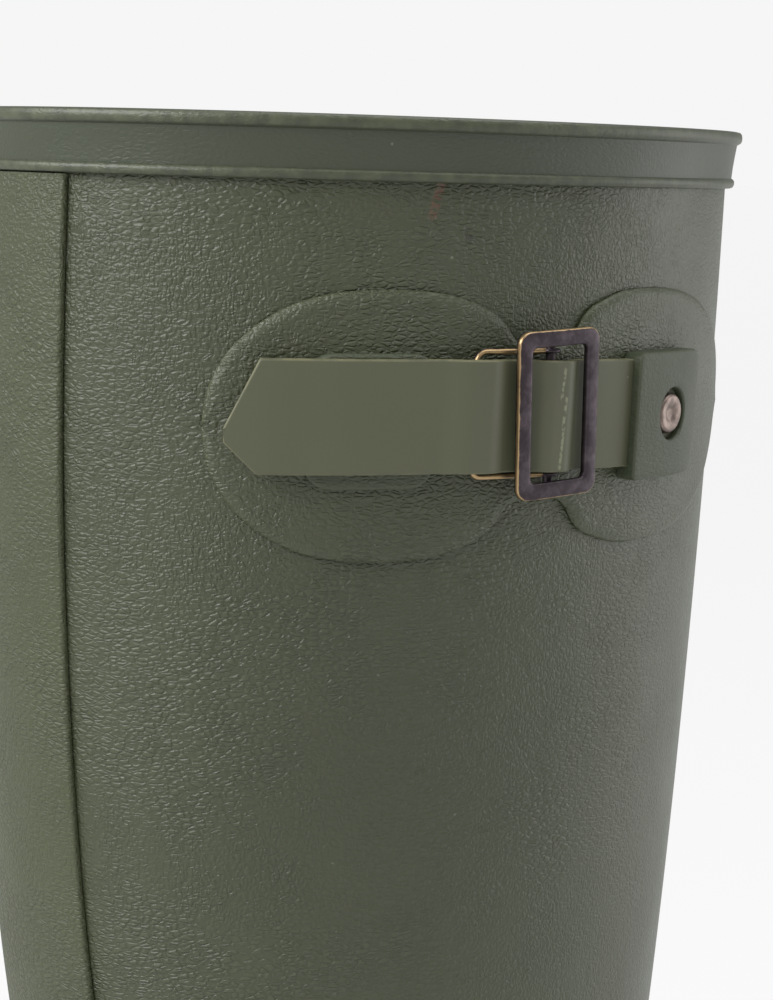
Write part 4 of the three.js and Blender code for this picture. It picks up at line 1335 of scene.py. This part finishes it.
@dataclass
class Sole(Part):
    """Outsole with its rim, heel and tread bars, and the insole."""

    upper: bpy.types.Object
    steps: int = 130
    welt: float = 4.0
    heel_inset: float = 1.2
    breast_radius: float = 70.0
    lug_width: float = 6.5
    lug_pitch: float = 11.0
    lug_sweep: float = 7.0
    lug_edge: float = 2.4
    tread_start: float = 128.0
    rim_thickness: float = 1.8
    # Side of the sole: share of the way up, how far inside the welt, in mm
    side: tuple[tuple[float, float], ...] = (
        (0, 1.7),
        (0.02, 1.2),
        (0.06, 0.7),
        (0.12, 0.3),
        (0.2, 0.08),
        (0.35, 0),
        (0.5, 0),
        (0.535, 0.12),
        (0.56, 0.6),
        (0.58, 0.95),
        (0.66, 0.95),
        (0.68, 0.6),
        (0.705, 0.12),
        (0.74, 0),
        (0.93, 0),
        (0.97, 0.12),
        (0.99, 0.4),
        (1, 0.8),
    )

    # Rim: height above the edge, share of its full stand
    rim: tuple[tuple[float, float], ...] = (
        (-0.2, 1),
        (0.4, 0.97),
        (3, 0.95),
        (6, 0.92),
        (8.9, 0.9),
        (9.6, 0.8),
        (10, 0.5),
    )
    # Heel block: inset from the welt, height above the roots of the bars
    heel_side: tuple[tuple[float, float], ...] = (
        (1.9, 0.0),
        (1.45, 0.15),
        (1.2, 0.5),
        (1.2, 8.0),
        (1.2, 9.5),
    )
    # Insole: inset, height above the edge
    pad_side: tuple[tuple[float, float], ...] = ((0, 0), (0, 2.8), (0.3, 3.5), (1.2, 4))
    pad_clearance: float = 0.6

    def __post_init__(self) -> None:
        """Reads the upper's surface, which the rim follows."""
        graph = bpy.context.evaluated_depsgraph_get()
        self.upper_tree = BVHTree.FromObject(self.upper, graph)

    def _rim_loop(self, base: Array, out: Array, rise: float, stand: float) -> Array:
        """Loop that stands off the upper at a height above the edge.

        Args:
            base: Loop along the sole's edge.
            out: Level directions away from the foot.
            rise: Height above the edge.
            stand: Distance off the upper.

        Returns:
            The loop's points.
        """
        middle = self.form.sizes.heel_length / 2
        points = []
        for point, direction in zip(base, out):
            far = point + direction * 40 + (0, 0, rise)
            start = Vector((-far[0], middle - far[1], far[2])) / 1000
            aim = Vector((direction[0], direction[1], 0))
            hit = self.upper_tree.ray_cast(start, aim, 0.12)[0]
            flat = point[:2] if hit is None else (-hit.x * 1000, middle - hit.y * 1000)
            place = np.array([*flat, far[2]])
            points.append(place + direction * stand)
        return np.array(points)

    def _filled(self, loop: Array, steps: Sequence[float]) -> list[Array]:
        """Loops that close in from a loop to the line halfway between its two sides."""
        middle = (loop + loop[::-1]) / 2
        return [loop + (middle - loop) * share for share in steps]

    def shell(self) -> Shell:
        """Body and rim as one surface, from the middle of the underside to the foot bed.

        Returns:
            The closed surface.
        """
        form, steps = self.form, self.steps
        gap = form.sizes.gap
        under = form.loop(self.welt - self.side[0][1], steps, form.under_height)
        loops = self._filled(under, (1, 0.7, 0.35, 0.12))

        def height_at(rise: float) -> HeightAt:
            """Height at a share of the way from the underside to the edge.

            Args:
                rise: Share of the way up.

            Returns:
                Height for a place along the foot.
            """
            return lambda along: form.under_height(along) + rise * (
                form.edge_height(along) - gap - form.under_height(along)
            )

        for rise, inset in self.side:
            loops.append(form.loop(self.welt - inset, steps, height_at(rise)))
        base = form.loop(0, steps, form.edge_height)
        out = unit((form.loop(1, steps, form.edge_height) - base) * (1, 1, 0))
        stand = 1.5 * gap + self.rim_thickness
        for rise, share in self.rim:
            loops.append(self._rim_loop(base, out, rise, stand * share))
        loops.append(self._rim_loop(base, out, self.rim[-1][0] - 0.2, 0.2))
        loops.append(self._rim_loop(base, out, 4, 0.2))
        loops.append(form.loop(0.2, steps, lambda along: form.edge_height(along) - gap))
        loops += self._filled(loops[-1], (0.2, 0.6, 1))
        worn = np.zeros((len(loops), len(under)))
        # the six lowest loops of the side, past the four of the underside
        worn[4:10] = 0.6
        return Shell.grid(np.stack(loops), closed=True, edge=worn)

    def _breast(self, x: Array, inset: float) -> Array:
        """Place along the foot of the heel's curved front, at x across."""
        tip = self.form.sizes.heel_length - inset + self.breast_radius
        return tip - np.sqrt(self.breast_radius**2 - np.asarray(x) ** 2)

    def heel(self) -> Shell:
        """Heel block behind its curved breast.

        Returns:
            The closed surface.
        """
        form, rings = self.form, []
        for inset, height in self.heel_side:
            loop = form.loop(self.welt - inset, 400, form.edge_height)
            keep = loop[:, 1] < self._breast(np.clip(loop[:, 0], -60, 60), 0)
            back = loop[keep]
            share = evenly(0, 1, 90) * (len(back) - 1)
            index = np.arange(len(back))
            sides = np.stack([np.interp(share, index, back[:, axis]) for axis in (0, 1)], axis=-1)
            x = evenly(sides[-1, 0], sides[0, 0], 40)[1:-1]
            front = np.stack([x, self._breast(x, inset - self.heel_inset)], axis=-1)
            outline = np.concatenate([sides, front])
            level_z = np.full((len(outline), 1), form.sizes.lug_depth + height)
            rings.append(np.concatenate([outline, level_z], axis=1))
        return Shell.tube(np.stack(rings))

    def bars(self, start: float, count: int, heel: bool) -> list[Shell]:
        """Tread bars, each swept forward in its middle.

        Args:
            start: Place of the first bar along the foot.
            count: How many.
            heel: True for the heel's, which end behind its breast.

        Returns:
            One body for each bar.
        """
        form = self.form
        loop = form.loop(self.welt - self.lug_edge, 300, form.edge_height)
        half = len(loop) // 2
        outer, inner = loop[:half][::-1], loop[half:]
        shells = []
        for middle in start + self.lug_pitch * np.arange(count):
            ends = []
            for edge in (outer, inner):
                y_at = middle - self.lug_sweep * np.abs(edge[:, 0]) / form.sizes.ball_width
                inside = np.abs(edge[:, 1] - y_at) < self.lug_width / 2 + 0.6
                ends.append(np.abs(edge[inside, 0]).min() if inside.any() else 0)
            if min(ends) < 9 or middle > form.sizes.foot_length + self.welt:
                continue
            x = np.concatenate([evenly(-ends[1], 0, 9), evenly(0, ends[0], 9)[1:]])
            y = middle - self.lug_sweep * np.abs(x) / form.sizes.ball_width
            back, front = y - self.lug_width / 2, y + self.lug_width / 2
            if heel:
                front = np.minimum(front, self._breast(x, self.lug_edge))
                if (front - back).max() < 2:
                    continue
                back = np.minimum(back, front - 0.4)
            bottom = form.tread_height(np.clip(y, 0, form.sizes.foot_length))
            foot = form.under_height(np.clip(y, 0, form.sizes.foot_length))
            top = np.full(x.shape, form.sizes.lug_depth + 1) if heel else foot + 1
            bevel = np.clip((front - back) / self.lug_width, 0.05, 1)
            section = (
                (back, top),
                (back + 0.25 * bevel, bottom + 0.5),
                (back + 0.5 * bevel, bottom + 0.12),
                (back + 0.9 * bevel, bottom),
                (front - 0.9 * bevel, bottom),
                (front - 0.5 * bevel, bottom + 0.12),
                (front - 0.25 * bevel, bottom + 0.5),
                (front, top),
            )
            rings = np.stack([np.stack([x, line[0], line[1]], axis=-1) for line in section], axis=1)
            shells.append(Shell.tube(rings))
        return shells

    def build(self, rubber: bpy.types.Material) -> bpy.types.Object:
        """Builds the outsole.

        Args:
            rubber: Rubber finish.

        Returns:
            The new object.
        """
        behind = int(self.form.sizes.heel_length / 2 // self.lug_pitch)
        first = self.form.sizes.heel_length / 2 - behind * self.lug_pitch
        shells = [
            self.shell(),
            self.heel(),
            *self.bars(first, 2 * behind + 2, True),
            *self.bars(self.tread_start, 16, False),
        ]
        return self.make("boot_outsole", shells, (rubber,), "sole_rubber", "outsole", 45)

    def insole(self, felt: bpy.types.Material) -> bpy.types.Object:
        """Builds the felt pad on the outsole.

        Args:
            felt: Felt finish.

        Returns:
            The new object.
        """
        form = self.form
        inset = -(form.sizes.wall + self.pad_clearance)

        def height_at(rise: float) -> HeightAt:
            """Height at a rise above the edge."""
            return lambda along: form.edge_height(along) + rise

        loops = [form.loop(inset - more, 90, height_at(rise)) for more, rise in self.pad_side]
        rows = self._filled(loops[0], (1, 0.5)) + loops + self._filled(loops[-1], (0.2, 0.6, 1))
        shell = Shell.grid(np.stack(rows), closed=True)
        return self.make("boot_insole", [shell], (felt,), "insole_felt", "insole", 60)


Socket = bpy.types.NodeSocket
Value = float | tuple | Socket


class Wire:
    """A value inside a material. Its operators add the maths nodes that work it out."""

    def __init__(self, board: "Board", socket: Socket):
        """Keeps the board and the socket that gives the value."""
        self.board = board
        self.socket = socket

    def _maths(self, operation: str, *values: "Wire | float") -> "Wire":
        """Adds a maths node on these values."""
        return self.board.maths(operation, *values)

    def __add__(self, other: "Wire | float") -> "Wire":
        """Sum."""
        return self._maths("ADD", self, other)

    def __radd__(self, other: "Wire | float") -> "Wire":
        """Sum, with this value on the right."""
        return self._maths("ADD", other, self)

    def __sub__(self, other: "Wire | float") -> "Wire":
        """Difference."""
        return self._maths("SUBTRACT", self, other)

    def __rsub__(self, other: "Wire | float") -> "Wire":
        """Difference, with this value on the right."""
        return self._maths("SUBTRACT", other, self)

    def __mul__(self, other: "Wire | float") -> "Wire":
        """Product."""
        return self._maths("MULTIPLY", self, other)

    def __rmul__(self, other: "Wire | float") -> "Wire":
        """Product, with this value on the right."""
        return self._maths("MULTIPLY", other, self)

    def most(self, other: "Wire | float") -> "Wire":
        """The larger of two values."""
        return self._maths("MAXIMUM", self, other)

    def least(self, other: "Wire | float") -> "Wire":
        """The smaller of two values."""
        return self._maths("MINIMUM", self, other)

    def step(self, start: float, end: float) -> "Wire":
        """Smooth step: 0 at start, 1 at end, which may be the smaller.

        Args:
            start: First end.
            end: Last end.

        Returns:
            The value.
        """
        return self.board.output(
            "ShaderNodeMapRange",
            {"interpolation_type": "SMOOTHSTEP"},
            {"Value": self, "From Min": start, "From Max": end},
        )


class Board:
    """Node tree of one material."""

    def __init__(self, name: str):
        """Makes the material with its main shader and its coordinates.

        Args:
            name: Name of the material.
        """
        self.material = bpy.data.materials.new(name)
        self.material.use_nodes = True
        self.tree = self.material.node_tree
        self.tree.nodes.clear()
        self.shader = self.add("ShaderNodeBsdfPrincipled")
        out = self.add("ShaderNodeOutputMaterial")
        self.tree.links.new(self.shader.outputs[0], out.inputs["Surface"])
        self.place = self.add("ShaderNodeTexCoord").outputs["Object"]

    def add(
        self, kind: str, settings: dict | None = None, inputs: dict | None = None
    ) -> bpy.types.Node:
        """Adds a node.

        Args:
            kind: Type of the node.
            settings: Its properties.
            inputs: Values or links for its inputs, by name or number.

        Returns:
            The node.
        """
        node = self.tree.nodes.new(kind)
        for key, value in (settings or {}).items():
            setattr(node, key, value)
        for key, value in (inputs or {}).items():
            self.feed(node.inputs[key], value)
        return node

    def feed(self, target: Socket, value: "Value | Wire") -> None:
        """Links a value to an input, or sets it there.

        Args:
            target: Input to set.
            value: Value or link.
        """
        if isinstance(value, Wire):
            value = value.socket
        if isinstance(value, bpy.types.NodeSocket):
            self.tree.links.new(value, target)
        else:
            target.default_value = value

    def output(
        self,
        kind: str,
        settings: dict | None = None,
        inputs: dict | None = None,
        out: int | str = 0,
    ) -> Wire:
        """Adds a node and gives one of its outputs."""
        return Wire(self, self.add(kind, settings, inputs).outputs[out])

    def maths(self, operation: str, *values: "Wire | float") -> Wire:
        """Adds a maths node."""
        inputs = dict(enumerate(values))
        return self.output("ShaderNodeMath", {"operation": operation}, inputs)

    def vector(self, operation: str, *values: "Value | Wire", out: str = "Vector") -> Wire:
        """Adds a vector maths node."""
        inputs = dict(enumerate(values))
        return self.output("ShaderNodeVectorMath", {"operation": operation}, inputs, out)

    def stretched(self, values: "Value | Wire", amount: "float | Wire") -> Wire:
        """A vector multiplied by one number."""
        inputs = {0: values, "Scale": amount}
        return self.output("ShaderNodeVectorMath", {"operation": "SCALE"}, inputs)

    def scaled(self, x: float, y: float, z: float) -> Wire:
        """Coordinates multiplied by a number along each axis."""
        return self.vector("MULTIPLY", self.place, (x, y, z))

    def noise(
        self, place: "Wire | Socket", scale: float, detail: float = 2, rough: float = 0.5
    ) -> Wire:
        """Noise from 0 to 1."""
        inputs = {"Vector": place, "Scale": scale, "Detail": detail, "Roughness": rough}
        return self.output("ShaderNodeTexNoise", None, inputs)

    def warped(self, place: "Wire | Socket", scale: float, amount: float) -> Wire:
        """Coordinates pushed about by noise.

        Args:
            place: Coordinates.
            scale: Scale of the noise.
            amount: How far, in metres.

        Returns:
            The value.
        """
        inputs = {"Vector": place, "Scale": scale, "Detail": 2.0}
        colour = self.output("ShaderNodeTexNoise", None, inputs, "Color")
        push = self.vector("SUBTRACT", colour, (0.5, 0.5, 0.5))
        return self.vector("ADD", place, self.stretched(push, amount))

    def cells(
        self, place: "Wire | Socket", scale: float, feature: str = "DISTANCE_TO_EDGE"
    ) -> Wire:
        """Distances in a pattern of cells."""
        inputs = {"Vector": place, "Scale": scale}
        return self.output("ShaderNodeTexVoronoi", {"feature": feature}, inputs)

    def mix(self, share: "Wire | float", first: "tuple | Wire", second: "tuple | Wire") -> Wire:
        """Colour between two colours.

        Args:
            share: Share of the second colour.
            first: First colour.
            second: Second colour.

        Returns:
            The value.
        """
        node = self.add("ShaderNodeMix", {"data_type": "RGBA"})
        self.feed(node.inputs[0], share)
        for target, value in ((node.inputs[6], first), (node.inputs[7], second)):
            self.feed(target, (*value, 1.0) if isinstance(value, tuple) else value)
        return Wire(self, node.outputs[2])

    def edge(self) -> Wire:
        """The piece's own edge value: 1 on cut or worn edges, and on the collar band's beads for
        their painted highlight.
        """
        return self.output("ShaderNodeAttribute", {"attribute_name": "edge"}, None, "Fac")

    def capsule(self, start: Sequence[float], end: Sequence[float], radius: float) -> Wire:
        """Mask of 1 along a stretch between two points of the part, in metres.

        Args:
            start: One end.
            end: Other end.
            radius: Half width of the stretch.

        Returns:
            The value.
        """
        start, end = Vector(start), Vector(end)
        axis = end - start
        gone = self.vector("SUBTRACT", self.place, tuple(start))
        share = self.vector("DOT_PRODUCT", gone, tuple(axis / axis.length_squared), out="Value")
        near = self.stretched(tuple(axis), share.most(0.0).least(1.0))
        away = self.vector("SUBTRACT", gone, near)
        length = self.vector("LENGTH", away, out="Value")
        return length.step(radius, radius * 0.3)

    def finish(
        self, colour: Wire, roughness: Wire, height: Wire, depth: float, **fixed: float | tuple
    ) -> bpy.types.Material:
        """Links the main values to the shader.

        Args:
            colour: Base colour.
            roughness: Roughness.
            height: Height of the surface, 0 to 1.
            depth: What a height of 1 stands for, in metres.
            fixed: Values for the shader's other sockets, with _ for a space.

        Returns:
            The finished material.
        """
        self.feed(self.shader.inputs["Base Color"], colour)
        self.feed(self.shader.inputs["Roughness"], roughness)
        inputs = {"Strength": 1.0, "Distance": depth, "Height": height}
        bump = self.add("ShaderNodeBump", None, inputs)
        self.feed(self.shader.inputs["Normal"], bump.outputs[0])
        for key, value in fixed.items():
            self.shader.inputs[key.replace("_", " ")].default_value = value
        return self.material


@dataclass(frozen=True)
class Mark:
    """Scratch, smudge or crack along a short line, in the part's frame and in metres."""

    start: Triple
    end: Triple
    radius: float
    tint: Triple
    amount: float


def tinted(colour: Triple, share: float) -> Triple:
    """Colour made darker or lighter by a share."""
    return tuple(share * part for part in colour)


@dataclass(frozen=True)
class RubberFinish:
    """Boot rubber: grain with painted shade in its grooves, soft colour drift, dust, cut edges, and
    a painted highlight on the collar band's beads.
    """

    name: str
    colour: Triple
    edge_wear_and_highlight_colour: Triple
    roughness: float
    grain: float = 1.0
    grain_depth: float = 0.00026
    dust: float = 0.35
    marks: tuple[Mark, ...] = ()

    def build(self) -> bpy.types.Material:
        """Makes the material.

        Returns:
            The material.
        """
        b = Board(self.name)
        flat = b.scaled(0.95, 0.95, 2.0)
        upright = b.scaled(1.7, 1.7, 0.9)
        where = b.noise(b.place, 26, 2).step(0.42, 0.58)
        wide = b.cells(b.warped(flat, 420, 0.0016), 640).step(0.0, 0.3)
        tall = b.cells(b.warped(upright, 460, 0.0014), 700).step(0.0, 0.3)
        fine = b.noise(b.place, 1500, 3, 0.6)
        worn = b.output("ShaderNodeSeparateXYZ", None, {0: b.place}, "Y").step(0.01, -0.05)
        patchy = (b.noise(b.place, 120, 2).step(0.3, 0.7) * 0.4 + 0.6) * (1 - worn * 0.55)
        grain = 1 - (1 - wide * (1 - where * 0.5) - tall * (where * 0.5)) * patchy
        dimples = b.noise(flat, 330, 2)
        coarse = grain * (0.75 * self.grain) + dimples * (0.2 * self.grain)
        height = coarse + fine * (0.1 + 0.1 * (1 - self.grain))
        drift = b.noise(b.place, 14, 3).step(0.3, 0.72)
        shade = b.mix(drift, tinted(self.colour, 0.9), tinted(self.colour, 1.09))
        # Painted shade: the grooves between the grain's cells are darkened towards half the colour.
        painted_crease_shade = (1 - grain) * (0.3 * self.grain)
        shade = b.mix(painted_crease_shade, shade, tinted(self.colour, 0.5))
        speck = b.cells(b.warped(b.place, 60, 0.01), 330, "F1").step(0.1, 0.04)
        speck = speck * b.noise(b.place, 90, 1).step(0.58, 0.7) * self.dust
        shade = b.mix(speck, shade, (0.3, 0.31, 0.26))
        # Edges marked in the piece's edge value take the edge colour: wear on cut and worn edges,
        # and a painted highlight on the collar band's beads.
        edge_wear_and_highlight = b.edge() * b.noise(b.place, 420, 2).step(0.25, 0.75)
        shade = b.mix(edge_wear_and_highlight * 0.75, shade, self.edge_wear_and_highlight_colour)
        for mark in self.marks:
            line = b.capsule(mark.start, mark.end, mark.radius)
            mask = line * b.noise(b.place, 1300, 2).step(0.36, 0.56)
            shade = b.mix(mask * mark.amount, shade, mark.tint)
        rough = b.noise(b.place, 40, 3) * 0.16 + (self.roughness - 0.08)
        rough = rough + fine * 0.06 - grain * (0.05 * self.grain)
        return b.finish(shade, rough, height, self.grain_depth, IOR=1.5)


@dataclass(frozen=True)
class MetalFinish:
    """Antique metal: dark plating that wears to bare metal on its edges."""

    name: str
    plating: Triple
    bare: Triple
    wear: float

    def build(self) -> bpy.types.Material:
        """Makes the material.

        Returns:
            The material.
        """
        b = Board(self.name)
        patchy = b.noise(b.place, 420, 4, 0.65)
        scuffs = b.noise(b.scaled(1, 1, 0.3), 1400, 3, 0.7)
        worn = (b.edge() * self.wear + patchy - 0.5 + scuffs * 0.35).step(0.42, 0.72)
        tint = b.mix(patchy.step(0.35, 0.7), self.plating, tinted(self.plating, 1.9))
        shade = b.mix(worn, tint, self.bare)
        rough = 0.36 - worn * 0.08 + scuffs * 0.16
        height = patchy * 0.6 + scuffs * 0.4
        return b.finish(shade, rough, height, 0.00006, Metallic=0.92)


@dataclass(frozen=True)
class ClothFinish:
    """Woven lining or felt."""

    name: str
    colour: Triple
    pitch: float
    depth: float

    def build(self) -> bpy.types.Material:
        """Makes the material: two sets of crossed threads under soft noise, with painted light and
        shade.

        Returns:
            The material.
        """
        b = Board(self.name)
        waves = []
        for axis in ("X", "Z"):
            inputs = {"Vector": b.warped(b.place, 300, 0.0006), "Scale": 1 / self.pitch}
            waves.append(b.output("ShaderNodeTexWave", {"bands_direction": axis}, inputs, "Fac"))
        fuzz = b.noise(b.place, 1800, 3, 0.7)
        weave = waves[0] * waves[1]
        height = weave * 0.7 + fuzz * 0.3
        # Painted light and shade: the threads' tops are lighter and the hollows between them
        # darker, following the height.
        shade = b.mix(height, tinted(self.colour, 0.6), tinted(self.colour, 1.2))
        return b.finish(shade, fuzz * 0.1 + 0.82, height, self.depth, Sheen_Weight=0.3)


@dataclass(frozen=True)
class Studio:
    """Camera of the photograph, pale floor and soft lights."""

    camera: Triple = (-0.338671, 0.258556, 0.377905)
    right: Triple = (-0.63694, -0.77039, 0.02841)
    up: Triple = (0.12887, -0.07006, 0.98918)
    lens: float = 83.95

    def build(self) -> None:
        """Makes camera, floor, world and lights."""
        self._camera()
        self._floor()
        self._world()
        self._softbox("rear_softbox", (0.1, 0.8, 0.84), (1.0, 0.5), 13)
        self._softbox("toe_softbox", (-0.75, -1.6, 0.45), (1.2, 1.2), 8)
        sun = bpy.data.lights.new("overhead", "SUN")
        sun.energy = 1.9
        sun.angle = math.radians(60)
        lamp = bpy.data.objects.new("overhead", sun)
        lamp.rotation_euler = (math.radians(14), math.radians(-10), 0)
        bpy.context.scene.collection.objects.link(lamp)

    def _camera(self) -> None:
        """Sets the camera where the photograph was taken."""
        right, up = Vector(self.right), Vector(self.up)
        back = right.cross(up)
        turn = Matrix((right, up, back)).transposed().to_4x4()
        data = bpy.data.cameras.new("camera")
        data.lens = self.lens
        data.clip_start = 0.01
        camera = bpy.data.objects.new("camera", data)
        camera.matrix_world = Matrix.Translation(self.camera) @ turn
        bpy.context.scene.collection.objects.link(camera)
        bpy.context.scene.camera = camera

    def _floor(self) -> None:
        """Lays a wide round floor."""
        turn = evenly(0, 2 * np.pi, 96)[:-1]
        points = [(60 * math.cos(a), 60 * math.sin(a), 0.0) for a in turn]
        mesh = bpy.data.meshes.new("floor")
        mesh.from_pydata(points, [], [list(range(len(points)))])
        b = Board("pale_floor")
        grey = b.noise(b.place, 3, 2)
        shade = b.mix(grey, (0.17, 0.17, 0.17), (0.18, 0.18, 0.18))
        glow = {"Emission_Color": (1, 1, 1, 1), "Emission_Strength": 0.695}
        mesh.materials.append(b.finish(shade, grey * 0.05 + 0.8, grey, 0.0001, **glow))
        floor = bpy.data.objects.new("floor", mesh)
        bpy.context.scene.collection.objects.link(floor)

    def _world(self) -> None:
        """Gives a white background to look at, and a dimmer one to light by."""
        world = bpy.data.worlds.new("studio")
        world.use_nodes = True
        tree = world.node_tree
        sky = tree.nodes["Background"]
        sky.inputs["Color"].default_value = (1, 1, 1, 1)
        path = tree.nodes.new("ShaderNodeLightPath")
        strength = tree.nodes.new("ShaderNodeMapRange")
        strength.inputs["To Min"].default_value = 0.4
        strength.inputs["To Max"].default_value = 0.92
        tree.links.new(path.outputs["Is Camera Ray"], strength.inputs["Value"])
        tree.links.new(strength.outputs[0], sky.inputs["Strength"])
        bpy.context.scene.world = world

    def _softbox(
        self, name: str, place: Triple, size: tuple[float, float], power: float
    ) -> None:
        """Hangs a softbox that faces the boot's shaft.

        Args:
            name: Name of the light.
            place: Its middle, in metres.
            size: Width and height, in metres.
            power: Watts.
        """
        light = bpy.data.lights.new(name, "AREA")
        light.shape = "RECTANGLE"
        light.size, light.size_y = size
        light.energy = power
        lamp = bpy.data.objects.new(name, light)
        lamp.location = place
        aim = Vector((0, 0, 0.3)) - Vector(place)
        lamp.rotation_euler = aim.to_track_quat("-Z", "Y").to_euler()
        lamp.visible_camera = False
        bpy.context.scene.collection.objects.link(lamp)


def main() -> None:
    """Builds every piece of the boot and the studio round it."""
    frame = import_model()
    log.info("frame: %d nodes", len(frame["nodes"]))
    form = BootForm(BootSizes())

    smudge = (0.11, 0.05, 0.03)
    scratch = (0.02, 0.022, 0.016)
    marks = (
        Mark(form.shaft_place(75.0, 15.5), form.shaft_place(76.3, 10.0), 0.0011, smudge, 0.7),
        Mark(form.shaft_place(81.4, 18.2), form.shaft_place(81.8, 19.2), 0.0011, scratch, 0.7),
    )
    strap_top = 6.3
    cracks = []
    for girth, low, high in ((97.6, 40.2, 45), (98.2, 45, 50), (98.0, 50, 56.6), (101, 48, 51)):
        start = form.shaft_place(girth, low, strap_top)
        end = form.shaft_place(girth - 0.4, high, strap_top)
        cracks.append(Mark(start, end, 0.00042, (0.24, 0.25, 0.16), 0.6))
    rubber = RubberFinish(
        "grained_rubber", (0.048, 0.056, 0.028), (0.062, 0.072, 0.036), 0.43, marks=marks
    ).build()
    # The band's edge colour is the painted highlight on its beads.
    band = RubberFinish(
        "band_rubber", (0.04, 0.048, 0.028), (0.075, 0.085, 0.046), 0.42, grain=0.2
    ).build()
    strip = RubberFinish(
        "strip_rubber", (0.05, 0.059, 0.026), (0.058, 0.067, 0.03), 0.5
    ).build()
    smooth = RubberFinish(
        "strap_rubber",
        (0.072, 0.076, 0.042),
        (0.2, 0.19, 0.1),
        0.52,
        grain=0.05,
        grain_depth=0.0001,
        dust=0.7,
        marks=tuple(cracks),
    ).build()
    tab = RubberFinish(
        "tab_rubber", (0.046, 0.055, 0.029), (0.03, 0.042, 0.02), 0.52, grain=0.5
    ).build()
    sole = RubberFinish(
        "sole_rubber", (0.03, 0.034, 0.022), (0.05, 0.055, 0.036), 0.6, grain=0.2
    ).build()
    lining = ClothFinish("cotton_lining", (0.2, 0.19, 0.15), 0.0011, 0.0002).build()
    felt = ClothFinish("felt", (0.2, 0.165, 0.1), 0.0016, 0.0003).build()
    aged = MetalFinish("aged_metal", (0.046, 0.037, 0.042), (0.4, 0.28, 0.15), 0.62).build()
    pale = MetalFinish("pale_metal", (0.16, 0.125, 0.11), (0.27, 0.215, 0.195), 0.3).build()

    upper = Upper(form).build(rubber, lining, band)
    CollarBand(form).build(band)
    BackStrip(form).build(strip)
    side = SideStrap(form)
    side.patch(rubber)
    side.rear_tab(tab)
    side.strap(smooth)
    side.front_tab(tab)
    side.rivet(pale)
    buckle = Buckle(form)
    buckle.build_frame(aged)
    buckle.build_loop(aged)
    outsole = Sole(form, upper)
    outsole.build(sole)
    outsole.insole(felt)
    Studio().build()
    bpy.context.scene.view_settings.view_transform = "Standard"


if __name__ == "__main__":
    main()
